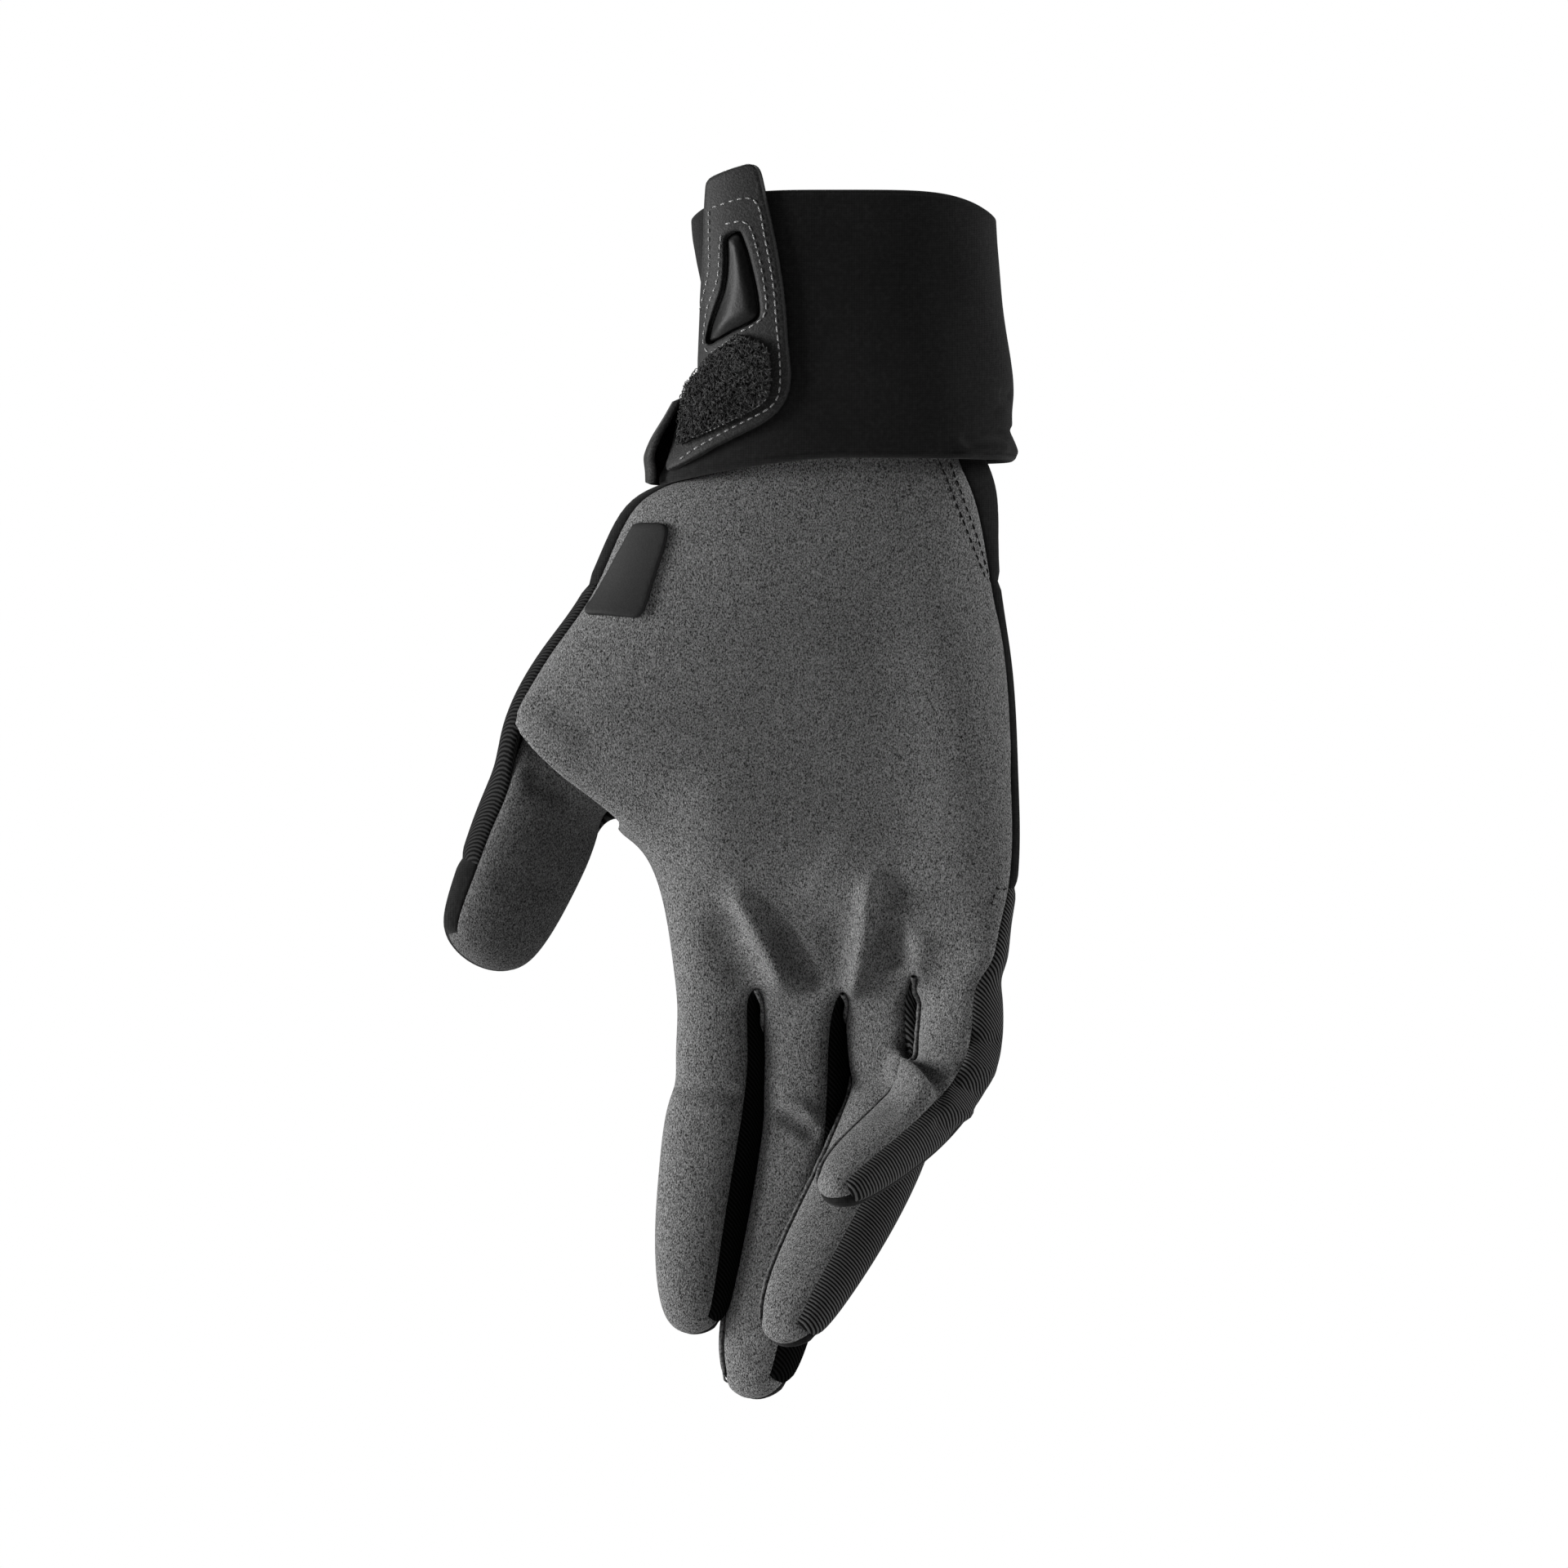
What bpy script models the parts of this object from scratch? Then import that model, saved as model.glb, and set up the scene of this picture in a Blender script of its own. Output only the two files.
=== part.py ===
"""A right-hand motorcycle glove in its worn shape, fingers down and palm towards -Y.

Units are metres in Blender, and the sizes below are millimetres.
The origin is the centre of the cuff's mouth, +X is towards the little finger and +Z is up the arm.
One quad cage, with four fingers grown from the palm's far edge and a thumb from its near side, is
subdivided once. Its faces are then parted along the seams, and each panel gets a wall of its own.
"""

import math
from collections import namedtuple

import bpy
import numpy as np
from mathutils import Vector
from mathutils.bvhtree import BVHTree

MM = 0.001

# Hand sizes
PALM_LENGTH = 121.0
PALM_WIDTH = 76.0
PALM_DEPTH = 34.0
INDEX_LENGTH = 83.0
MIDDLE_LENGTH = 98.0
RING_LENGTH = 92.0
LITTLE_LENGTH = 66.0
FINGER_DEPTH = 16.0
THUMB_LENGTH = 51.0
THUMB_WIDTH = 26.0
THUMB_DEPTH = 20.0

# Cuff sizes
CUFF_LENGTH = 58.5
CUFF_WIDTH = 68.0
CUFF_DEPTH = 44.0
CUFF_WALL = 2.0

# Cloth walls and the clearance between pieces
WALL = 1.6
SEAM_GAP = 0.34
LAY_GAP = 0.55

# Closure sizes
STRAP_LENGTH = 66.0
STRAP_WIDTH = 18.0
STRAP_WALL = 1.6
INSERT_WALL = 1.8
INSERT_CROWN = 0.4
INSERT_GAP = 0.4
PATCH_WALL = 1.3
FLAP_LENGTH = 19.0
FLAP_WALL = 1.5
FLAP_STAND = 3.3
TAG_LENGTH = 20.5
TAG_WIDTH = 19.0
TAG_WALL = 1.0
TAG_GAP = 1.1

# Meshing: edges sharper than this, in degrees, are left sharp, and a corner of a panel's border is drawn
# back by at most 1 / CORNER_LIMIT times the gap.
SHARP_ANGLE = 50.0
CORNER_LIMIT = 0.4

# Each row is a ring of the palm, from inside the cuff to the finger roots. The x and z of its two edges are
# shares of the palm's width and length, from the cuff's hem down; middle, cup and hollow are shares of the
# palm's depth, and depth is its own. A seam's number says how far round the side it lies, -1 front, 1 back.
Station = namedtuple(
    "Station",
    "radial_x radial_z ulnar_x ulnar_z middle depth cup hollow radial_seam ulnar_seam",
)
STATIONS = (
    Station(-0.462, 0.000, 0.425, -0.040, 0.02, 1.02, 0.00, 0.00, -0.50, -0.74),
    Station(-0.486, 0.042, 0.466, 0.000, 0.02, 1.04, 0.00, 0.00, -0.50, -0.72),
    Station(-0.686, 0.068, 0.505, 0.074, 0.02, 1.12, 0.05, 0.00, -0.46, -0.60),
    Station(-0.778, 0.248, 0.470, 0.236, 0.03, 1.12, 0.15, 0.04, -0.44, -0.12),
    Station(-0.930, 0.352, 0.515, 0.361, 0.04, 1.08, 0.30, 0.08, -0.44, 0.10),
    Station(-1.055, 0.489, 0.532, 0.483, 0.06, 1.02, 0.45, 0.12, -0.42, 0.12),
    Station(-0.885, 0.588, 0.532, 0.596, 0.07, 0.98, 0.60, 0.14, -0.50, 0.10),
    Station(-0.690, 0.660, 0.534, 0.703, 0.08, 0.95, 0.75, 0.12, -0.46, 0.02),
    Station(-0.588, 0.762, 0.524, 0.810, 0.09, 0.90, 0.90, 0.06, -0.50, -0.28),
    Station(-0.550, 0.862, 0.512, 0.880, 0.10, 0.84, 1.05, 0.02, -0.52, -0.52),
    Station(-0.530, 0.972, 0.515, 0.945, 0.10, 0.74, 1.15, 0.00, -0.54, -0.62),
)
THUMB_TOP, THUMB_MIDDLE, THUMB_FOOT = 5, 6, 7
GUSSET_END, STRIP_END, ULNAR_START = 3, 3, 8
COLUMNS = 9
CROTCHES = (0.258, 0.511, 0.700)
CROTCH_DROP = (0.034, 0.046, 0.000)
SECTION_POWER = 2.5
CUP_CENTRE = 0.30
HOLLOW_CENTRE = 0.62
HOLLOW_WIDTH = 0.20
BACK_CORNER = 0.72

# Each row is a ring of a finger. Its centre lies at x, y and z from the middle of the finger's root, as
# shares of the finger's length, z downwards; its width and depth are shares of the finger's own.
FingerRow = namedtuple("FingerRow", "x y z width depth")
Finger = namedtuple("Finger", "name length width roll rows tip")
FINGERS = (
    Finger(
        "index",
        INDEX_LENGTH,
        0.250,
        17.0,
        (
            FingerRow(0.003, -0.003, 0.085, 0.92, 1.02),
            FingerRow(0.003, -0.010, 0.205, 1.00, 1.03),
            FingerRow(0.002, -0.016, 0.288, 0.95, 0.94),
            FingerRow(-0.016, -0.024, 0.365, 1.09, 1.03),
            FingerRow(-0.036, -0.042, 0.515, 1.05, 0.98),
            FingerRow(-0.058, -0.066, 0.685, 0.98, 0.92),
            FingerRow(-0.068, -0.088, 0.835, 0.84, 0.82),
            FingerRow(-0.070, -0.105, 0.935, 0.60, 0.58),
        ),
        (-0.074, -0.112, 0.992),
    ),
    Finger(
        "middle",
        MIDDLE_LENGTH,
        0.243,
        26.0,
        (
            FingerRow(0.008, -0.003, 0.096, 0.91, 1.02),
            FingerRow(0.006, -0.009, 0.210, 0.96, 1.03),
            FingerRow(0.004, -0.015, 0.295, 0.95, 0.95),
            FingerRow(0.000, -0.020, 0.370, 1.02, 1.03),
            FingerRow(-0.022, -0.030, 0.495, 1.00, 1.00),
            FingerRow(-0.060, -0.046, 0.645, 0.98, 0.95),
            FingerRow(-0.098, -0.066, 0.805, 0.96, 0.88),
            FingerRow(-0.112, -0.084, 0.920, 0.70, 0.64),
        ),
        (-0.106, -0.092, 0.988),
    ),
    Finger(
        "ring",
        RING_LENGTH,
        0.243,
        36.0,
        (
            FingerRow(0.013, 0.006, 0.096, 0.88, 0.98),
            FingerRow(0.018, 0.004, 0.193, 0.92, 0.96),
            FingerRow(0.030, -0.008, 0.258, 0.86, 0.90),
            FingerRow(0.018, -0.036, 0.338, 0.98, 0.98),
            FingerRow(-0.038, -0.094, 0.475, 1.00, 0.98),
            FingerRow(-0.116, -0.172, 0.620, 0.98, 0.94),
            FingerRow(-0.196, -0.246, 0.762, 0.86, 0.84),
            FingerRow(-0.237, -0.288, 0.860, 0.62, 0.60),
        ),
        (-0.254, -0.310, 0.918),
    ),
    Finger(
        "little",
        LITTLE_LENGTH,
        0.236,
        43.0,
        (
            FingerRow(0.022, -0.030, 0.093, 0.92, 0.95),
            FingerRow(0.020, -0.060, 0.222, 0.96, 0.98),
            FingerRow(0.000, -0.095, 0.325, 0.98, 1.00),
            FingerRow(-0.050, -0.145, 0.418, 0.91, 0.89),
            FingerRow(-0.130, -0.212, 0.508, 0.94, 0.92),
            FingerRow(-0.240, -0.295, 0.603, 0.92, 0.88),
            FingerRow(-0.353, -0.382, 0.688, 0.82, 0.80),
            FingerRow(-0.426, -0.438, 0.755, 0.58, 0.58),
        ),
        (-0.474, -0.478, 0.798),
    ),
)
THUMB = Finger(
    "thumb",
    THUMB_LENGTH,
    1.0,
    -15.0,
    (
        FingerRow(-0.120, 0.060, 0.145, 1.06, 1.00),
        FingerRow(-0.190, 0.070, 0.308, 1.06, 1.03),
        FingerRow(-0.270, 0.070, 0.508, 1.00, 1.00),
        FingerRow(-0.355, 0.060, 0.695, 0.91, 0.92),
        FingerRow(-0.426, 0.040, 0.840, 0.70, 0.70),
    ),
    (-0.470, 0.025, 0.930),
)
THUMB_TIP_START = 3

# The eight points round a finger: how far towards the little finger's side, and how far to its palm side.
FINGER_SECTION = (
    (-0.84, 0.80),
    (0.0, 1.0),
    (0.84, 0.80),
    (1.0, 0.0),
    (0.82, -0.80),
    (0.0, -1.0),
    (-0.82, -0.80),
    (-1.0, 0.0),
)
SHRINK = 0.925

# Each row is a section of the cuff: how far below the mouth as a share of its length, the x of its two
# sides as shares of its width, and its depth as a share of its own.
CuffRow = namedtuple("CuffRow", "down radial ulnar depth")
CUFF_ROWS = (
    CuffRow(-0.14, -0.514, 0.497, 0.95),
    CuffRow(0.10, -0.510, 0.506, 0.98),
    CuffRow(0.22, -0.497, 0.512, 1.00),
    CuffRow(0.40, -0.470, 0.527, 1.02),
    CuffRow(0.62, -0.472, 0.557, 1.02),
    CuffRow(0.75, -0.500, 0.563, 1.01),
    CuffRow(0.88, -0.540, 0.550, 1.00),
    CuffRow(0.96, -0.572, 0.573, 1.03),
    CuffRow(1.03, -0.600, 0.566, 1.02),
    CuffRow(1.20, -0.640, 0.560, 1.00),
)
CUFF_SIDES = 28
CUFF_LEVELS = (0.0, 0.10, 0.22, 0.40, 0.62, 0.75, 0.88, 0.95, 1.0)
CUFF_POWER = 2.5
MOUTH_DIP = 0.085
MOUTH_POWER = 5.0
HEM_RADIAL, HEM_MIDDLE, HEM_ULNAR = 1.085, 0.990, 0.992
HEM_POWER = 1.6
SIDE_LIMIT = 0.985

# Each row crosses the strap: its two ends as x and z, and where the window's edges lie. The x are shares of
# the strap's width from its own left edge at the tab, and the z shares of its length below the tab's top.
StrapRow = namedtuple("StrapRow", "left_x left_z right_x right_z window_left window_right")
STRAP_ROWS = (
    StrapRow(0.06, 0.045, 0.64, 0.010, 0.27, 0.50),
    StrapRow(-0.02, 0.145, 0.75, 0.100, 0.26, 0.46),
    StrapRow(-0.03, 0.255, 0.83, 0.225, 0.28, 0.43),
    StrapRow(-0.02, 0.330, 0.90, 0.325, 0.26, 0.53),
    StrapRow(-0.06, 0.405, 0.95, 0.395, 0.24, 0.61),
    StrapRow(-0.10, 0.490, 0.99, 0.475, 0.15, 0.68),
    StrapRow(-0.13, 0.615, 1.03, 0.550, 0.06, 0.68),
    StrapRow(-0.16, 0.685, 1.06, 0.640, 0.12, 0.64),
    StrapRow(-0.24, 0.755, 1.07, 0.730, 0.12, 0.66),
    StrapRow(-0.30, 0.825, 1.02, 0.815, 0.12, 0.62),
    StrapRow(-0.30, 0.905, 0.72, 0.900, 0.04, 0.38),
    StrapRow(-0.28, 1.000, 0.10, 0.975, -0.16, -0.04),
)
STRAP_LEFT = -0.462
STRAP_RISE = 0.115
WINDOW_ROWS = (2, 6)
STRAP_STEPS = (3, 2, 2)
INSERT_STEPS = (3,)

# Each row crosses the loop patch, in the strap's own shares.
PATCH_STEPS = (6,)
PatchRow = namedtuple("PatchRow", "left_x left_z right_x right_z")
PATCH_ROWS = (
    PatchRow(0.06, 0.675, 0.42, 0.610),
    PatchRow(-0.06, 0.710, 0.72, 0.645),
    PatchRow(-0.17, 0.755, 0.80, 0.700),
    PatchRow(-0.21, 0.820, 0.82, 0.765),
    PatchRow(-0.22, 0.880, 0.70, 0.820),
    PatchRow(-0.22, 0.945, 0.40, 0.885),
)

# Each row crosses the flap: how far down the cuff as a share of its length, how far its outer face stands
# out beside the hand as a share of its stand, and where its front edge lies, -1 side to 0 front.
FlapRow = namedtuple("FlapRow", "down stand front")
FLAP_ROWS = (
    FlapRow(0.775, 0.80, -0.975),
    FlapRow(0.835, 1.10, -0.965),
    FlapRow(0.905, 1.45, -0.955),
    FlapRow(0.965, 1.35, -0.955),
    FlapRow(1.025, 0.75, -0.960),
    FlapRow(1.070, 0.40, -0.970),
)
FLAP_TOP = 0.775
FLAP_END = 0.72
FLAP_POWER = 0.8
FLAP_COLUMNS = 9

# The tag's four corners as shares of its width and length, and its place on the palm.
TAG_CORNERS = ((0.608, 0.01), (1.0, 0.03), (0.69, 0.96), (0.0, 0.94))
TAG_X = -0.769
TAG_Z = 0.128
TAG_POINTS = 5

PANELS = (
    "palm_panel",
    "back_panel",
    "fourchette_index_middle",
    "fourchette_middle_ring",
    "fourchette_ring_little",
    "ulnar_panel",
    "wrist_gusset",
    "radial_strip",
    "thumb_front",
    "thumb_back",
    "thumb_tip",
)
SUEDE_PANELS = ("palm_panel", "thumb_front")

FINISHES = {
    "suede": ((0.075, 0.075, 0.075, 1.0), 0.95),
    "black_fabric": ((0.012, 0.012, 0.012, 1.0), 0.85),
    "strap_leather": ((0.020, 0.020, 0.020, 1.0), 0.60),
    "loop_pile": ((0.010, 0.010, 0.010, 1.0), 1.00),
    "tag_rubber": ((0.018, 0.018, 0.018, 1.0), 0.50),
}


def clear_scene():
    for obj in list(bpy.data.objects):
        bpy.data.objects.remove(obj)


def finish(name):
    """The Principled material of that name, made once."""
    made = bpy.data.materials.get(name)
    if made is None:
        colour, roughness = FINISHES[name]
        made = bpy.data.materials.new(name)
        made.use_nodes = True
        shader = made.node_tree.nodes["Principled BSDF"]
        shader.inputs["Base Color"].default_value = colour
        shader.inputs["Roughness"].default_value = roughness
        shader.inputs["Metallic"].default_value = 0.0
        made.diffuse_color = colour
    return made


def side_share(seam):
    """How far in from the side a point lies, as a share of the width, where its depth share is seam."""
    return 0.5 * (1 - (1 - abs(seam) ** SECTION_POWER) ** (1 / SECTION_POWER))


def section_bulge(across):
    """The half depth of the palm's section at a share across it, as a share of its greatest."""
    return (1 - abs(2 * across - 1) ** SECTION_POWER) ** (1 / SECTION_POWER)


def palm_point(station, across, depth_share, drop=0.0):
    """A point of a palm ring, that share across it and that share of its half depth, -1 front, 1 back."""
    x = station.radial_x + (station.ulnar_x - station.radial_x) * across
    z = station.radial_z + (station.ulnar_z - station.radial_z) * across + drop
    cup = -station.cup * (across - CUP_CENTRE) ** 2
    dip = math.exp(-(((across - HOLLOW_CENTRE) / HOLLOW_WIDTH) ** 2))
    hollow = station.hollow * dip if depth_share < 0 else 0.0
    y = station.middle + cup + hollow + depth_share * station.depth / 2
    return np.array([x * PALM_WIDTH, y * PALM_DEPTH, -CUFF_LENGTH - z * PALM_LENGTH])


def column_shares():
    """The shares across the palm of its nine columns; every other one inside is a crotch."""
    edges = (0.0,) + CROTCHES + (1.0,)
    shares = []
    for low, high in zip(edges, edges[1:]):
        shares += [low, (low + high) / 2]
    return shares + [1.0]


def palm_ring(station, last):
    """The twenty points of a ring: nine in front, the ulnar side, nine behind, the radial side."""
    front, back = [], []
    for column, across in enumerate(column_shares()):
        crotch = column // 2 - 1 if column in (2, 4, 6) else None
        drop = CROTCH_DROP[crotch] if last and crotch is not None else 0.0
        if column == 0:
            front.append(palm_point(station, side_share(station.radial_seam), station.radial_seam))
            back.append(palm_point(station, side_share(BACK_CORNER), BACK_CORNER))
        elif column == COLUMNS - 1:
            front.append(palm_point(station, 1 - side_share(station.ulnar_seam), station.ulnar_seam))
            back.append(palm_point(station, 1 - side_share(BACK_CORNER), BACK_CORNER))
        else:
            bulge = section_bulge(across)
            front.append(palm_point(station, across, -bulge, drop))
            back.append(palm_point(station, across, bulge, drop))
    ulnar_middle = (station.ulnar_seam + BACK_CORNER) / 2
    radial_middle = (station.radial_seam + BACK_CORNER) / 2
    ulnar = palm_point(station, 1 - side_share(ulnar_middle), ulnar_middle)
    radial = palm_point(station, side_share(radial_middle), radial_middle)
    return front + [ulnar] + back[::-1] + [radial]


class Cage:
    """The glove's quad cage: its points, its faces and the panel of each face."""

    def __init__(self):
        self.points = []
        self.faces = []
        self.panels = []

    def add_points(self, points):
        first = len(self.points)
        self.points += [np.asarray(p, float) for p in points]
        return list(range(first, len(self.points)))

    def add_face(self, corners, panel):
        self.faces.append(tuple(corners))
        self.panels.append(PANELS.index(panel))

    def join_rings(self, upper, lower, panels):
        """Quads between two rings, each of the panel named at its place; None leaves a hole."""
        for i, panel in enumerate(panels):
            if panel is not None:
                j = (i + 1) % len(upper)
                self.add_face((upper[i], lower[i], lower[j], upper[j]), panel)

    def close_tip(self, ring, tip, panels):
        """Four quads from a ring of eight to the tip."""
        point = self.add_points([tip])[0]
        for i, panel in zip((7, 1, 3, 5), panels):
            self.add_face((ring[i], point, ring[(i + 2) % 8], ring[(i + 1) % 8]), panel)


def palm_panels(band):
    """The panel of each of the twenty quads between two rings of the palm."""
    if band < GUSSET_END:
        ulnar = "wrist_gusset"
    elif band < ULNAR_START:
        ulnar = "back_panel"
    else:
        ulnar = "ulnar_panel"
    if band < STRIP_END:
        radial = ("radial_strip", "radial_strip")
    elif band < THUMB_TOP:
        radial = ("thumb_back", "thumb_back")
    elif band < THUMB_FOOT:
        radial = (None, None)
    else:
        radial = ("back_panel", "palm_panel")
    return ("palm_panel",) * 8 + (ulnar,) * 2 + ("back_panel",) * 8 + radial


def finger_ring(row, finger, centre, along, width, depth):
    """The eight points of a finger's ring, square to its run and rolled with its finger."""
    roll = math.radians(finger.roll)
    across = np.array([math.cos(roll), -math.sin(roll), 0.0])
    across -= (across @ along) * along
    across /= np.linalg.norm(across)
    palmward = np.cross(along, across)
    half_width = width * row.width / 2 / SHRINK
    half_depth = depth * row.depth / 2 / SHRINK
    return [centre + across * (a * half_width) + palmward * (p * half_depth) for a, p in FINGER_SECTION]


def grow_finger(cage, finger, root, width, depth, panels_of_row, tip_panels):
    """Grows a finger from the eight points of its root ring and closes its tip."""
    start = np.mean([cage.points[i] for i in root], axis=0)
    offsets = [(r.x, r.y, -r.z) for r in finger.rows]
    offsets.append((finger.tip[0], finger.tip[1], -finger.tip[2]))
    places = [start] + [start + np.array(o) * finger.length for o in offsets]
    upper = root
    for i, row in enumerate(finger.rows):
        along = places[i + 2] - places[i]
        along /= np.linalg.norm(along)
        lower = cage.add_points(finger_ring(row, finger, places[i + 1], along, width, depth))
        cage.join_rings(upper, lower, panels_of_row(i))
        upper = lower
    cage.close_tip(upper, places[-1], tip_panels)


def finger_panels(left, right, palm_left):
    """The panels round a finger whose two side walls are those named."""
    left_front = "palm_panel" if palm_left else left
    return ("palm_panel", "palm_panel", right, right, "back_panel", "back_panel", left, left_front)


def build_cage():
    """The whole glove below the cuff as one cage."""
    cage = Cage()
    last = len(STATIONS) - 1
    rings = [cage.add_points(palm_ring(s, k == last)) for k, s in enumerate(STATIONS)]
    for band, (upper, lower) in enumerate(zip(rings, rings[1:])):
        cage.join_rings(upper, lower, palm_panels(band))

    front = rings[last][:COLUMNS]
    back = rings[last][COLUMNS + 1 : 2 * COLUMNS + 1][::-1]
    ulnar, radial = rings[last][COLUMNS], rings[last][-1]
    middles = []
    for column in (2, 4, 6):
        middles += cage.add_points([(cage.points[front[column]] + cage.points[back[column]]) / 2])
    rights = middles + [ulnar]
    lefts = [radial] + middles
    walls = PANELS[2:5] + ("ulnar_panel",)
    for k, finger in enumerate(FINGERS):
        c = 2 * k
        root = [front[c], front[c + 1], front[c + 2], rights[k]]
        root += [back[c + 2], back[c + 1], back[c], lefts[k]]
        around = finger_panels("back_panel" if k == 0 else walls[k - 1], walls[k], k == 0)
        tip = ("palm_panel", "palm_panel", "back_panel", "back_panel")
        width = finger.width * PALM_WIDTH
        grow_finger(cage, finger, root, width, FINGER_DEPTH, lambda i, p=around: p, tip)

    top, middle, foot = rings[THUMB_TOP], rings[THUMB_MIDDLE], rings[THUMB_FOOT]
    hole = [top[0], middle[0], foot[0], foot[19], foot[18], middle[18], top[18], top[19]]
    tip = ("thumb_front", "thumb_front", "thumb_tip", "thumb_tip")
    grow_finger(cage, THUMB, hole, THUMB_WIDTH, THUMB_DEPTH, thumb_panels, tip)
    return cage


def thumb_panels(row):
    behind = "thumb_tip" if row >= THUMB_TIP_START else "thumb_back"
    return ("thumb_front",) * 3 + (behind,) * 5


def subdivide(cage):
    """The cage after one Catmull-Clark step: points in millimetres, quads, and the panel of each quad."""
    mesh = bpy.data.meshes.new("cage")
    mesh.from_pydata([tuple(p) for p in cage.points], [], cage.faces)
    mesh.polygons.foreach_set("material_index", cage.panels)
    for _ in PANELS:
        mesh.materials.append(None)
    helper = bpy.data.objects.new("cage", mesh)
    bpy.context.scene.collection.objects.link(helper)
    helper.hide_render = True
    helper.display_type = "WIRE"
    modifier = helper.modifiers.new("Subdivision", "SUBSURF")
    modifier.levels = modifier.render_levels = 1
    fine = helper.evaluated_get(bpy.context.evaluated_depsgraph_get()).to_mesh()
    points = np.array([v.co[:] for v in fine.vertices])
    quads = [tuple(p.vertices) for p in fine.polygons]
    panels = [p.material_index for p in fine.polygons]
    bpy.data.objects.remove(helper)
    return points, quads, panels


def point_normals(points, faces):
    """The unit normal at each point, the mean of its faces' normals by area."""
    normals = np.zeros_like(points)
    for face in faces:
        a, b, c, d = points[list(face)]
        normal = np.cross(c - a, d - b)
        for corner in face:
            normals[corner] += normal
    lengths = np.linalg.norm(normals, axis=1)
    return normals / np.maximum(lengths, 1e-9)[:, None]


def border_edges(faces):
    """The directed edges that only one face has."""
    seen = {}
    for face in faces:
        for a, b in zip(face, face[1:] + face[:1]):
            seen[(a, b)] = True
    return [edge for edge in seen if (edge[1], edge[0]) not in seen]


def draw_back(points, normals, faces, distance):
    """The points with those on the faces' border moved inwards by that distance, along the surface."""
    moved = points.copy()
    inward = {}
    for a, b in border_edges(faces):
        run = points[b] - points[a]
        run /= np.linalg.norm(run)
        for corner in (a, b):
            side = np.cross(normals[corner], run)
            inward.setdefault(corner, []).append(side / np.linalg.norm(side))
    for corner, sides in inward.items():
        total = sum(sides)
        if len(sides) == 2:
            total = total / max(1 + sides[0] @ sides[1], CORNER_LIMIT)
        moved[corner] = points[corner] + total * distance
    return moved


def rim_triangles(a, b, count):
    """The rim of a border edge, split so that the rims on both sides of a seam twist alike."""
    if a < b:
        return [(b, a, b + count), (a, a + count, b + count)]
    return [(b, a, a + count), (b, a + count, b + count)]


def add_shell(name, outer, inner, faces, finish_name):
    """A closed solid between an outer and an inner skin of the same quads, with its rims."""
    used = sorted({corner for face in faces for corner in face})
    place = {corner: i for i, corner in enumerate(used)}
    count = len(used)
    skin = [tuple(place[c] for c in face) for face in faces]
    solid = list(skin)
    solid += [tuple(c + count for c in reversed(face)) for face in skin]
    for a, b in border_edges(skin):
        solid += rim_triangles(a, b, count)
    points = np.vstack([outer[used], inner[used]]) * MM
    mesh = bpy.data.meshes.new(name)
    mesh.from_pydata([tuple(p) for p in points], [], solid)
    mesh.validate()
    mesh.shade_smooth()
    mesh.set_sharp_from_angle(angle=math.radians(SHARP_ANGLE))
    mesh.materials.append(finish(finish_name))
    obj = bpy.data.objects.new(name, mesh)
    bpy.context.scene.collection.objects.link(obj)
    return obj


def grid_faces(rows, columns, closed=False, hole=()):
    """The quads of a grid whose rows run down and columns to the right, less those in the hole."""
    faces = []
    for i in range(rows - 1):
        for j in range(columns if closed else columns - 1):
            if (i, j) not in hole:
                k = (j + 1) % columns
                faces.append(
                    (i * columns + j, (i + 1) * columns + j, (i + 1) * columns + k, i * columns + k)
                )
    return faces


def build_panels():
    """Every sewn panel as its own shell, with a seam's gap between neighbours."""
    points, quads, owners = subdivide(build_cage())
    normals = point_normals(points, quads)
    for index, name in enumerate(PANELS):
        faces = [quad for quad, owner in zip(quads, owners) if owner == index]
        outer = draw_back(points, normals, faces, SEAM_GAP / 2)
        inner = outer - normals * WALL
        add_shell(name, outer, inner, faces, "suede" if name in SUEDE_PANELS else "black_fabric")
    return points, quads


def cuff_section(z):
    """The cuff's two sides and half depth at a height."""
    down = -z / CUFF_LENGTH
    downs = [row.down for row in CUFF_ROWS]
    radial = np.interp(down, downs, [row.radial for row in CUFF_ROWS]) * CUFF_WIDTH
    ulnar = np.interp(down, downs, [row.ulnar for row in CUFF_ROWS]) * CUFF_WIDTH
    depth = np.interp(down, downs, [row.depth for row in CUFF_ROWS]) * CUFF_DEPTH
    return radial, ulnar, depth / 2


def signed_power(value, power):
    return math.copysign(abs(value) ** power, value)


def cuff_edge(across, level):
    """The height of a level of the cuff at a share across it; its mouth dips at both sides."""
    mouth = -MOUTH_DIP * abs(2 * across - 1) ** MOUTH_POWER
    if across < 0.5:
        hem = HEM_MIDDLE + (HEM_RADIAL - HEM_MIDDLE) * (1 - 2 * across) ** HEM_POWER
    else:
        hem = HEM_MIDDLE + (HEM_ULNAR - HEM_MIDDLE) * (2 * across - 1)
    return (mouth * (1 - level) - hem * level) * CUFF_LENGTH


def cuff_ring(level, inset):
    """The points round the cuff at a level, drawn in by the inset, from its radial side by the front."""
    ring = []
    for k in range(CUFF_SIDES):
        angle = math.pi + 2 * math.pi * k / CUFF_SIDES
        out = signed_power(math.cos(angle), 2 / CUFF_POWER)
        back = signed_power(math.sin(angle), 2 / CUFF_POWER)
        z = cuff_edge((1 + out) / 2, level)
        radial, ulnar, half_depth = cuff_section(z)
        x = (radial + ulnar) / 2 + out * ((ulnar - radial) / 2 - inset)
        ring.append((x, back * (half_depth - inset), z))
    return ring


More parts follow.
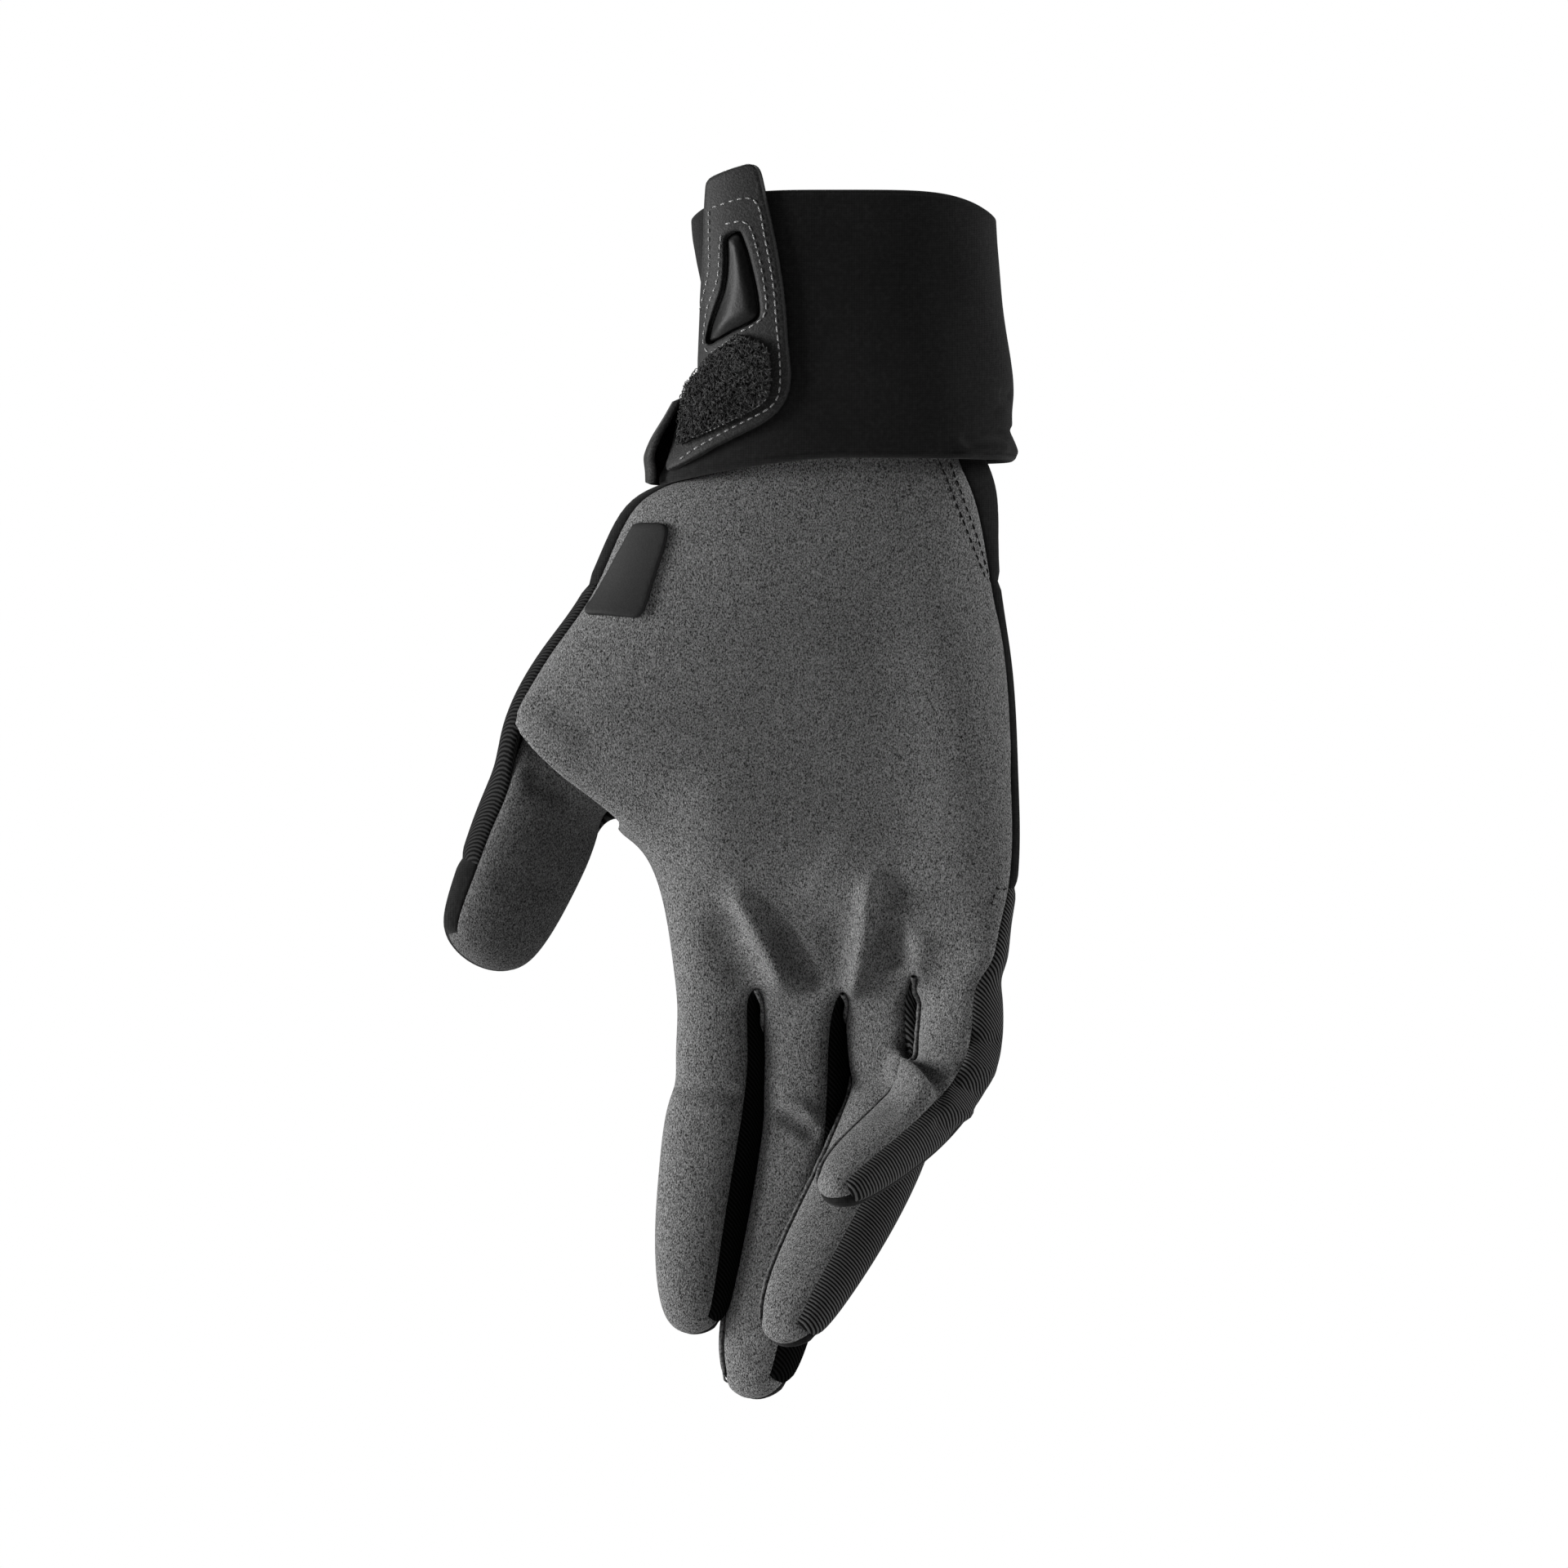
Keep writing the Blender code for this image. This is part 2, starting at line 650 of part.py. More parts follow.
def build_cuff():
    outer = np.array([p for level in CUFF_LEVELS for p in cuff_ring(level, 0.0)])
    inner = np.array([p for level in CUFF_LEVELS for p in cuff_ring(level, CUFF_WALL)])
    faces = grid_faces(len(CUFF_LEVELS), CUFF_SIDES, closed=True)
    add_shell("cuff", outer, inner, faces, "black_fabric")


def over_cuff(angle, z, lift):
    """The point over the cuff at an angle round it and a height, lifted off it."""
    radial, ulnar, half_depth = cuff_section(z)
    out = signed_power(math.cos(angle), 2 / CUFF_POWER)
    back = signed_power(math.sin(angle), 2 / CUFF_POWER)
    x = (radial + ulnar) / 2 + out * ((ulnar - radial) / 2 + lift)
    return (x, back * (half_depth + lift), z)


def front_angle(x, z, lift):
    """The angle round the cuff's front at which a point lifted off it has that x."""
    radial, ulnar, _ = cuff_section(z)
    out = (x - (radial + ulnar) / 2) / ((ulnar - radial) / 2 + lift)
    limited = min(max(out, -SIDE_LIMIT), SIDE_LIMIT)
    return 2 * math.pi - math.acos(signed_power(limited, CUFF_POWER / 2))


def strap_place(x_share, z_share):
    """The x and z of a place on the strap given in its own shares."""
    x = STRAP_LEFT * CUFF_WIDTH + x_share * STRAP_WIDTH
    z = STRAP_RISE * CUFF_LENGTH - z_share * STRAP_LENGTH
    return x, z


def between(start, end, share):
    return tuple(a + (b - a) * share for a, b in zip(start, end))


def cross_cuff(places, steps, lift):
    """Angles and heights along the places, with so many steps at equal angles from each to the next."""
    turned = [(front_angle(x, z, lift), z) for x, z in places]
    row = [turned[0]]
    for start, end, count in zip(turned, turned[1:], steps):
        row += [between(start, end, k / count) for k in range(1, count + 1)]
    return row


def lay_on_cuff(name, rows, lift, wall, finish_name, hole=(), crown=0.0):
    """A thin solid over the cuff's front from rows of angles and heights, its face crowned in the middle."""
    outer, inner = [], []
    for i, row in enumerate(rows):
        for j, (angle, z) in enumerate(row):
            rise = crown * math.sin(math.pi * i / (len(rows) - 1)) * math.sin(math.pi * j / (len(row) - 1))
            outer.append(over_cuff(angle, z, lift + wall + rise))
            inner.append(over_cuff(angle, z, lift))
    faces = grid_faces(len(rows), len(rows[0]), hole=hole)
    add_shell(name, np.array(outer), np.array(inner), faces, finish_name)


def build_strap():
    """The strap, with its window open, and the insert that fills the window."""
    lift = LAY_GAP + STRAP_WALL
    rows, window = [], []
    for row in STRAP_ROWS:
        left = strap_place(row.left_x, row.left_z)
        right = strap_place(row.right_x, row.right_z)
        width = row.right_x - row.left_x
        window_left = between(left, right, (row.window_left - row.left_x) / width)
        window_right = between(left, right, (row.window_right - row.left_x) / width)
        rows.append(cross_cuff((left, window_left, window_right, right), STRAP_STEPS, lift))
        inset = INSERT_GAP / abs(window_right[0] - window_left[0])
        edges = (between(window_left, window_right, inset), between(window_left, window_right, 1 - inset))
        window.append(cross_cuff(edges, INSERT_STEPS, lift))
    first, last = WINDOW_ROWS
    left, across, _ = STRAP_STEPS
    hole = {(i, j) for i in range(first, last) for j in range(left, left + across)}
    lay_on_cuff("closure_strap", rows, LAY_GAP, STRAP_WALL, "strap_leather", hole)

    window = window[first : last + 1]
    for end, toward in ((0, 1), (-1, -2)):
        share = INSERT_GAP / abs(window[toward][0][1] - window[end][0][1])
        window[end] = [between(a, b, share) for a, b in zip(window[end], window[toward])]
    lay_on_cuff("strap_insert", window, LAY_GAP, INSERT_WALL, "strap_leather", crown=INSERT_CROWN)


def build_patch():
    lift = 2 * LAY_GAP + STRAP_WALL
    rows = []
    for row in PATCH_ROWS:
        left = strap_place(row.left_x, row.left_z)
        right = strap_place(row.right_x, row.right_z)
        rows.append(cross_cuff((left, right), PATCH_STEPS, lift))
    lay_on_cuff("loop_patch", rows, lift, PATCH_WALL, "loop_pile")


def flap_point(row, wrap, outward):
    """A point of the flap: wrap 0 at its front edge, 1 at its back edge; outward 0 inside, 1 outside."""
    drop = (row.down - FLAP_TOP) / (FLAP_ROWS[-1].down - FLAP_TOP)
    z = -FLAP_TOP * CUFF_LENGTH - drop * FLAP_LENGTH
    front = 2 * math.pi - math.acos(signed_power(row.front, CUFF_POWER / 2))
    angle = front + (FLAP_END * math.pi - front) * wrap
    stand = LAY_GAP + FLAP_STAND * row.stand * (1 - wrap) ** FLAP_POWER + outward * FLAP_WALL
    return over_cuff(angle, z, stand)


def build_flap():
    """The flap that comes round the cuff's radial side from behind and stands off it in front."""
    outer, inner = [], []
    for row in FLAP_ROWS:
        for k in reversed(range(FLAP_COLUMNS)):
            wrap = k / (FLAP_COLUMNS - 1)
            outer.append(flap_point(row, wrap, 1.0))
            inner.append(flap_point(row, wrap, 0.0))
    faces = grid_faces(len(FLAP_ROWS), FLAP_COLUMNS)
    add_shell("closure_flap", np.array(outer), np.array(inner), faces, "strap_leather")


def build_tag(points, quads):
    """The palm's tag, laid on the palm's surface."""
    tree = BVHTree.FromPolygons([Vector(p) for p in points], quads)
    top_left, top_right, low_right, low_left = TAG_CORNERS
    away = 5 * PALM_DEPTH
    outer, inner = [], []
    for i in range(TAG_POINTS):
        left = between(top_left, low_left, i / (TAG_POINTS - 1))
        right = between(top_right, low_right, i / (TAG_POINTS - 1))
        for j in range(TAG_POINTS):
            share_x, share_z = between(left, right, j / (TAG_POINTS - 1))
            x = TAG_X * PALM_WIDTH + share_x * TAG_WIDTH
            z = -CUFF_LENGTH - TAG_Z * PALM_LENGTH - share_z * TAG_LENGTH
            place, normal, _, _ = tree.ray_cast(Vector((x, -away, z)), Vector((0, 1, 0)))
            inner.append(place + normal * TAG_GAP)
            outer.append(place + normal * (TAG_GAP + TAG_WALL))
    add_shell("palm_tag", np.array(outer), np.array(inner), grid_faces(TAG_POINTS, TAG_POINTS), "tag_rubber")


def main():
    clear_scene()
    points, quads = build_panels()
    build_cuff()
    build_strap()
    build_patch()
    build_flap()
    build_tag(points, quads)


main()
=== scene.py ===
"""The looks of a right-hand motorcycle glove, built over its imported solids.

Lengths are millimetres until a mesh is made. The frame is the solids' own: the origin is the centre of the
cuff's mouth, +X is towards the little finger, +Z up the arm, and the palm faces -Y. A line that follows the
photograph is a named path in its pixels, and from_photo turns it into millimetres.

The hand is one quad cage, subdivided, folded and parted along its seams. The cuff is a closed profile swept
round a rounded section. Strap, patch and tag are plates cut to an outline and laid over what carries them.
"""

from __future__ import annotations

import logging
import math
from dataclasses import dataclass
from enum import Enum
from typing import Callable, Iterable, Sequence

import bpy
import numpy as np
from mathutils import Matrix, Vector
from mathutils.bvhtree import BVHTree
from mathutils.geometry import delaunay_2d_cdt

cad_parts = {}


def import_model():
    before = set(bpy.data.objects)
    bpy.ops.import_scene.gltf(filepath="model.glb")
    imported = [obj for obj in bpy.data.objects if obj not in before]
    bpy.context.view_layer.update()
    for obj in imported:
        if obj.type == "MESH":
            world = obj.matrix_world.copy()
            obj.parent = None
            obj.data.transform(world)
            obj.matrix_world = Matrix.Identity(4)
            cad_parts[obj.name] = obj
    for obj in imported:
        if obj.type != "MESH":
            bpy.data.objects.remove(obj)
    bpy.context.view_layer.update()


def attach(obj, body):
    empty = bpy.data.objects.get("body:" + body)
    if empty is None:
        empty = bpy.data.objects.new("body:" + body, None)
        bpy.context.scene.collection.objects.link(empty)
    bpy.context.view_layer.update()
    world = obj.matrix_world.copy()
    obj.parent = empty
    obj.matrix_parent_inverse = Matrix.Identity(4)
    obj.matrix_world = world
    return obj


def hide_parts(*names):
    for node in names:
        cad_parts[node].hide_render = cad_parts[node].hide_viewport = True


log = logging.getLogger("glove")

Path = Sequence[tuple[float, float]]
Socket = bpy.types.NodeSocket

MM = 0.001

# The photograph's scale, and the pixel that shows the centre of the cuff's mouth
PIXEL = 0.185
MOUTH_PIXEL = (1034.0, 245.0)
FRAME_PIXELS = 1920.0
# Points worked out between two of a curve's own points
CURVE_STEPS = 24

# Hand sizes, as in the solids
PALM_LENGTH, PALM_WIDTH, PALM_DEPTH = 121.0, 76.0, 34.0
INDEX_LENGTH, MIDDLE_LENGTH, RING_LENGTH, LITTLE_LENGTH = 83.0, 98.0, 92.0, 66.0
FINGER_DEPTH = 16.0
THUMB_LENGTH, THUMB_WIDTH, THUMB_DEPTH = 51.0, 26.0, 20.0
CUFF_LENGTH, CUFF_WIDTH, CUFF_DEPTH, CUFF_WALL = 58.5, 68.0, 44.0, 2.0
WALL = 1.6
# The gap left at a seam, and the one under a piece that lies on the cuff
SEAM_GAP, LAY_GAP = 0.02, 0.55
# The walls of what lies on the cuff and the palm, and the gaps under the tag and the patch
STRAP_WALL, INSERT_WALL, PATCH_WALL, FLAP_WALL, TAG_WALL, TAG_GAP = 1.6, 1.5, 1.0, 1.5, 1.0, 0.35
PATCH_GAP = 0.1
# How much of its wall the insert shows at its edge
INSERT_EDGE = 0.35


def from_photo(path: Path) -> np.ndarray:
    """Turns a path in pixels into x and z in millimetres, one row a point."""
    pixels = np.asarray(path, float)
    return (pixels - MOUTH_PIXEL) * (PIXEL, -PIXEL)


def smooth(share: np.ndarray) -> np.ndarray:
    """The smooth step 3t^2 - 2t^3 of a share, held between 0 and 1."""
    held = np.clip(share, 0.0, 1.0)
    return held * held * (3 - 2 * held)


def bell(distance: np.ndarray, width: float) -> np.ndarray:
    """The bell exp(-(d/w)^2)."""
    return np.exp(-((distance / width) ** 2))


def unit(vectors: np.ndarray) -> np.ndarray:
    """The vectors at length one."""
    lengths = np.linalg.norm(vectors, axis=-1, keepdims=True)
    return vectors / np.maximum(lengths, 1e-9)


def resample(path: np.ndarray, step: float, closed: bool = False) -> np.ndarray:
    """Points a step apart along a Catmull-Rom curve through the path.

    Args:
        path: the curve's own points, one a row, in two or three dimensions.
        step: the distance between the points that come back.
        closed: whether the curve returns to its first point.

    Returns:
        The new points, one a row.
    """
    count = len(path)
    if closed:
        knots = path[np.arange(-1, count + 2) % count]
    else:
        knots = np.vstack([2 * path[0] - path[1], path, 2 * path[-1] - path[-2]])
    a, b, c, d = (knots[k : len(knots) - 3 + k, None, :] for k in range(4))
    t = np.linspace(0, 1, CURVE_STEPS, endpoint=False)[None, :, None]
    curve = 0.5 * (2 * b + (c - a) * t + (2 * a - 5 * b + 4 * c - d) * t**2 + (3 * b - a - 3 * c + d) * t**3)
    fine = np.vstack([curve.reshape(-1, path.shape[1]), path[:1] if closed else path[-1:]])
    run = np.concatenate([[0.0], np.cumsum(np.linalg.norm(np.diff(fine, axis=0), axis=1))])
    number = max(int(round(run[-1] / step)), 2)
    marks = np.linspace(0, run[-1], number + 1)
    if closed:
        marks = marks[:-1]
    return np.stack([np.interp(marks, run, column) for column in fine.T], axis=1)


def to_path(points: np.ndarray, path: np.ndarray) -> tuple[np.ndarray, np.ndarray, np.ndarray]:
    """How points lie to a path in the same plane.

    Args:
        points: the points, one a row of two numbers.
        path: the path's corners, in order.

    Returns:
        For each point its distance to the path, its place along it from 0 to 1, and which side of it the
        point is on, +1 to the left of the way the path runs and -1 to the right.
    """
    start, run = path[:-1], np.diff(path, axis=0)
    squares = np.maximum((run**2).sum(1), 1e-12)
    lengths = np.sqrt(squares)
    before = np.concatenate([[0.0], np.cumsum(lengths)])
    offset = points[:, None, :] - start[None]
    share = np.clip((offset * run).sum(2) / squares, 0, 1)
    gap = offset - share[..., None] * run
    distances = np.linalg.norm(gap, axis=2)
    nearest = distances.argmin(1)
    rows = np.arange(len(points))
    along = (before[nearest] + share[rows, nearest] * lengths[nearest]) / before[-1]
    side = np.sign(run[nearest, 0] * offset[rows, nearest, 1] - run[nearest, 1] * offset[rows, nearest, 0])
    return distances[rows, nearest], along, side


def distance_to_points(points: np.ndarray, targets: np.ndarray, block: int = 2000) -> np.ndarray:
    """Each point's distance to the nearest target, worked out a block of points at a time.

    Args:
        points: the points, one a row.
        targets: the points that they are measured to.
        block: how many points are worked out at a time.

    Returns:
        One distance a point.
    """
    found = np.full(len(points), np.inf)
    for first in range(0, len(points), block):
        part = points[first : first + block]
        squares = (part**2).sum(1)[:, None] + (targets**2).sum(1)[None] - 2 * part @ targets.T
        found[first : first + block] = np.sqrt(np.maximum(squares.min(1), 0))
    return found


# Materials


def linear(code: str) -> tuple[float, float, float, float]:
    """A linear colour from an sRGB hex code such as "4a4a4c"."""
    shares = [int(code[k : k + 2], 16) / 255 for k in (0, 2, 4)]
    return tuple(s / 12.92 if s <= 0.04045 else ((s + 0.055) / 1.055) ** 2.4 for s in shares) + (1.0,)


def add_node(
    tree: bpy.types.NodeTree, kind: str, settings: dict | None = None, inputs: dict | None = None
) -> bpy.types.Node:
    """Adds a node with its settings; an input is a value, or another node's output to link.

    Args:
        tree: the node tree.
        kind: the node's type, without ShaderNode.
        settings: its settings by name.
        inputs: its inputs by name or place, each a value or another node's output.

    Returns:
        The new node.
    """
    node = tree.nodes.new("ShaderNode" + kind)
    for name, value in (settings or {}).items():
        setattr(node, name, value)
    for name, value in (inputs or {}).items():
        if isinstance(value, Socket):
            tree.links.new(value, node.inputs[name])
        else:
            node.inputs[name].default_value = value
    return node


class Surface(Enum):
    """The kinds of fine relief that a finish can have."""

    NAP = "nap"
    KNIT = "knit"
    TWILL = "twill"
    LEATHER = "leather"
    THREAD = "thread"
    PLAIN = "plain"


@dataclass(frozen=True)
class Finish:
    """What a material looks like.

    Attributes:
        name: the material's name.
        slot: the record's slot that the finish belongs to; not used.
        surface: the kind of fine relief.
        dark: the sRGB colour of the relief's low places.
        light: the sRGB colour of its high places.
        pitch: the relief's own size in millimetres.
        relief: how deep the relief is, in millimetres.
        roughness: the shader's roughness.
        specular: the shader's specular level.
        sheen: the shader's sheen weight.
        patches: how much the colour drifts over centimetres, as a share.
    """

    name: str
    slot: str
    surface: Surface
    dark: str
    light: str
    pitch: float
    relief: float
    roughness: float
    specular: float
    sheen: float = 0.0
    patches: float = 0.1

    def material(self) -> bpy.types.Material:
        """The material, made the first time that it is asked for.

        Returns:
            The material.
        """
        made = bpy.data.materials.get(self.name)
        if made is not None:
            return made
        made = bpy.data.materials.new(self.name)
        made.use_nodes = True
        tree = made.node_tree
        shader = tree.nodes["Principled BSDF"]
        shader.inputs["Roughness"].default_value = self.roughness
        shader.inputs["Specular IOR Level"].default_value = self.specular
        shader.inputs["Sheen Weight"].default_value = self.sheen
        shader.inputs["Sheen Roughness"].default_value = 0.5
        place = add_node(tree, "TexCoord").outputs["Object"]
        height = RELIEFS[self.surface](tree, place, self.pitch)
        colour = self.colour(tree, place, height)
        tree.links.new(colour, shader.inputs["Base Color"])
        relief = {"Strength": 1.0, "Distance": self.relief * MM, "Height": height}
        bump = add_node(tree, "Bump", inputs=relief)
        tree.links.new(bump.outputs["Normal"], shader.inputs["Normal"])
        made.diffuse_color = linear(self.light)
        return made

    def colour(self, tree: bpy.types.NodeTree, place: Socket, height: Socket) -> Socket:
        """The relief's colours from low to high, times a slow drift over the piece.

        Args:
            tree: the node tree.
            place: the places on the object.
            height: the relief's height.

        Returns:
            The colour.
        """
        ramp = add_node(tree, "ValToRGB", inputs={"Fac": height})
        low, high = ramp.color_ramp.elements
        low.position, low.color = 0.33, linear(self.dark)
        high.position, high.color = 0.69, linear(self.light)
        drift = add_node(tree, "TexNoise", inputs={"Vector": place, "Scale": 40.0, "Detail": 2.0})
        spread = add_node(
            tree,
            "MapRange",
            inputs={
                "Value": drift.outputs["Fac"],
                "From Min": 0.3,
                "From Max": 0.7,
                "To Min": 1 - self.patches,
                "To Max": 1 + self.patches,
            },
        )
        mixed = add_node(tree, "VectorMath", {"operation": "SCALE"}, {"Scale": spread.outputs["Result"]})
        tree.links.new(ramp.outputs["Color"], mixed.inputs[0])
        return mixed.outputs["Vector"]


def stretch(tree: bpy.types.NodeTree, place: Socket, factors: tuple[float, float, float]) -> Socket:
    """The places multiplied by a factor along each axis."""
    node = add_node(tree, "VectorMath", {"operation": "MULTIPLY"}, {0: place, 1: factors})
    return node.outputs["Vector"]


# How unevenly the lines of the knit and of the twill run
KNIT_WAVER = {"Distortion": 1.2, "Detail": 1.0, "Detail Scale": 1.5}
TWILL_WAVER = {"Distortion": 0.8, "Detail": 1.0, "Detail Scale": 1.5}


def nap_relief(tree: bpy.types.NodeTree, place: Socket, pitch: float) -> Socket:
    """Short worm-like tufts that lie up and down the hand."""
    tufts = add_node(
        tree,
        "TexNoise",
        inputs={
            "Vector": stretch(tree, place, (1.0, 1.0, 0.62)),
            "Scale": 1.85 / (pitch * MM),
            "Detail": 2.0,
            "Roughness": 0.5,
            "Distortion": 0.4,
        },
    )
    return tufts.outputs["Fac"]


def knit_relief(tree: bpy.types.NodeTree, place: Socket, pitch: float) -> Socket:
    """Fine wales up the cloth crossed by courses, broken up by a little noise.

    Args:
        tree: the node tree.
        place: the places on the object.
        pitch: the distance between two wales, in millimetres.

    Returns:
        The height.
    """
    wales = add_node(
        tree,
        "TexWave",
        {"wave_type": "BANDS", "bands_direction": "X"},
        {"Vector": place, "Scale": 0.314 / (pitch * MM), **KNIT_WAVER},
    )
    courses = add_node(
        tree,
        "TexWave",
        {"wave_type": "BANDS", "bands_direction": "Z"},
        {"Vector": place, "Scale": 0.4 / (pitch * MM), **KNIT_WAVER},
    )
    both = add_node(tree, "Math", {"operation": "MULTIPLY"})
    tree.links.new(wales.outputs["Fac"], both.inputs[0])
    tree.links.new(courses.outputs["Fac"], both.inputs[1])
    noise = add_node(tree, "TexNoise", inputs={"Vector": place, "Scale": 0.4 / (pitch * MM), "Detail": 2.0})
    mean = add_node(tree, "Math", {"operation": "ADD", "use_clamp": True})
    tree.links.new(both.outputs["Value"], mean.inputs[0])
    tree.links.new(noise.outputs["Fac"], mean.inputs[1])
    half = add_node(tree, "Math", {"operation": "MULTIPLY"}, {1: 0.62})
    tree.links.new(mean.outputs["Value"], half.inputs[0])
    return half.outputs["Value"]


def twill_relief(tree: bpy.types.NodeTree, place: Socket, pitch: float) -> Socket:
    """Diagonal ribs, finely broken across."""
    ribs = add_node(
        tree,
        "TexWave",
        {"wave_type": "BANDS", "bands_direction": "DIAGONAL"},
        {"Vector": place, "Scale": 0.30 / (pitch * MM), **TWILL_WAVER},
    )
    return ribs.outputs["Fac"]


def leather_relief(tree: bpy.types.NodeTree, place: Socket, pitch: float) -> Socket:
    """A pebbled grain from the distance to scattered cells."""
    spread = {"Vector": place, "Scale": 1 / (pitch * MM)}
    cells = add_node(tree, "TexVoronoi", {"feature": "SMOOTH_F1"}, spread)
    return cells.outputs["Distance"]


def thread_relief(tree: bpy.types.NodeTree, place: Socket, pitch: float) -> Socket:
    """A twisted thread's fine bands."""
    bands = add_node(
        tree,
        "TexWave",
        {"wave_type": "BANDS", "bands_direction": "DIAGONAL"},
        {"Vector": place, "Scale": 0.3 / (pitch * MM), "Distortion": 2.0},
    )
    return bands.outputs["Fac"]


def plain_relief(tree: bpy.types.NodeTree, place: Socket, pitch: float) -> Socket:
    """A faint unevenness."""
    noise = add_node(tree, "TexNoise", inputs={"Vector": place, "Scale": 1 / (pitch * MM), "Detail": 3.0})
    return noise.outputs["Fac"]


RELIEFS: dict[Surface, Callable] = {
    Surface.NAP: nap_relief,
    Surface.KNIT: knit_relief,
    Surface.TWILL: twill_relief,
    Surface.LEATHER: leather_relief,
    Surface.THREAD: thread_relief,
    Surface.PLAIN: plain_relief,
}

# The real surfaces: synthetic suede, whose short nap gives a dull, speckled grey; smooth and ribbed jersey
# and twill in black, nearly without shine; pressed synthetic leather with a faint pebbled grain; loops of
# black yarn; spun thread; and moulded rubber. Cloth has no specular level, because its fibres scatter all.
# The suede's nap is finer than its pitch here, which is as coarse as it has to be to show in the render.
SUEDE = Finish("grey_suede", "suede", Surface.NAP, "1a1a1a", "7c7c7c", 0.50, 0.34, 0.95, 0.0, 0.05, 0.05)
# The palm's suede copied darker for the thumb's front: painted shade, for the shadow that the thumb lies in
# below the palm.
SHADED_THUMB_SUEDE = Finish(
    "thumb_suede_painted_shade", "suede", Surface.NAP, "181818", "5c5c5c", 0.50, 0.30, 0.95, 0.0, 0.03, 0.05
)
CUFF_KNIT = Finish("cuff_knit", "black_fabric", Surface.KNIT, "121212", "242424", 0.36, 0.08, 0.80, 0.0, 0.06)
SMOOTH_KNIT = Finish(
    "smooth_knit", "black_fabric", Surface.KNIT, "0c0c0c", "202020", 0.40, 0.08, 0.80, 0.0, 0.04
)
COARSE_KNIT = Finish(
    "coarse_knit", "black_fabric", Surface.TWILL, "0a0a0a", "262626", 0.55, 0.22, 0.85, 0.0, 0.03
)
TWILL = Finish("ribbed_twill", "black_fabric", Surface.TWILL, "0a0a0a", "464646", 0.62, 0.14, 0.80, 0.0, 0.03)
# A darker copy of the twill for the walls between index, middle and ring fingers: painted shade, for the
# shadow that falls between the fingers.
SHADED_WALL_TWILL = Finish("side_twill_painted_shade", "black_fabric", Surface.TWILL, "030303", "101010", 0.62, 0.12, 0.85, 0.0)
# The cords' grey is partly the turned edge's own colour and partly a painted highlight along the cord.
CORD_CLOTH_AND_HIGHLIGHT = Finish("turned_edge", "black_fabric", Surface.PLAIN, "242424", "686868", 0.6, 0.10, 0.80, 0.0)
STRAP_LEATHER = Finish(
    "strap_hide", "strap_leather", Surface.LEATHER, "171717", "2a2a2a", 0.35, 0.07, 0.60, 0.12, 0.02
)
INSERT_LEATHER = Finish(
    "insert_leather", "strap_leather", Surface.LEATHER, "0a0a0a", "121212", 0.5, 0.03, 0.48, 0.12
)
# Black yarn whose paler specks are painted glints on its loops, beside the yarn's own uneven tone.
PILE_AND_GLINTS = Finish("pile_yarn_and_painted_glints", "loop_pile", Surface.PLAIN, "060606", "4a4a4a", 0.8, 0.05, 0.60, 0.0)
GREY_THREAD = Finish("grey_thread", "strap_leather", Surface.THREAD, "505050", "989898", 0.2, 0.05, 0.70, 0.0)
DARK_THREAD = Finish("dark_thread", "black_fabric", Surface.THREAD, "0a0a0a", "202020", 0.2, 0.05, 0.70, 0.0)
TAG_RUBBER = Finish("tag_moulding", "tag_rubber", Surface.PLAIN, "181818", "222222", 0.3, 0.03, 0.60, 0.10)
PALE_FLOOR = Finish("pale_floor", "", Surface.PLAIN, "e2e2e2", "e6e6e6", 4.0, 0.02, 0.80, 0.10, 0.0, 0.0)


# The hand's cage


class Panel(Enum):
    """The sewn panels of the hand, each the name of its CAD node."""

    PALM = "palm_panel"
    BACK = "back_panel"
    WALL_INDEX = "fourchette_index_middle"
    WALL_MIDDLE = "fourchette_middle_ring"
    WALL_RING = "fourchette_ring_little"
    ULNAR = "ulnar_panel"
    GUSSET = "wrist_gusset"
    STRIP = "radial_strip"
    THUMB_FRONT = "thumb_front"
    THUMB_BACK = "thumb_back"
    THUMB_TIP = "thumb_tip"


PANELS = tuple(Panel)
PANEL_FINISH = {
    Panel.PALM: SUEDE,
    Panel.BACK: SMOOTH_KNIT,
    # The two inner walls take the darker copy of the twill, which paints the shade between the fingers.
    Panel.WALL_INDEX: SHADED_WALL_TWILL,
    Panel.WALL_MIDDLE: SHADED_WALL_TWILL,
    Panel.WALL_RING: TWILL,
    Panel.ULNAR: TWILL,
    Panel.GUSSET: SMOOTH_KNIT,
    Panel.STRIP: SMOOTH_KNIT,
    # The thumb's front takes the darker copy of the suede, which paints its shade.
    Panel.THUMB_FRONT: SHADED_THUMB_SUEDE,
    Panel.THUMB_BACK: COARSE_KNIT,
    Panel.THUMB_TIP: SMOOTH_KNIT,
}


@dataclass(frozen=True)
class Station:
    """One ring of the palm, from inside the cuff to the finger roots.

    The x and z of its two edges are shares of the palm's width and of its length below the hem. Middle, cup,
    hollow and depth are shares of the palm's depth. A seam's number says how far round the side it lies, -1
    in front and 1 behind.
    """

    radial_x: float
    radial_z: float
    ulnar_x: float
    ulnar_z: float
    middle: float
    depth: float
    cup: float
    hollow: float
    radial_seam: float
    ulnar_seam: float


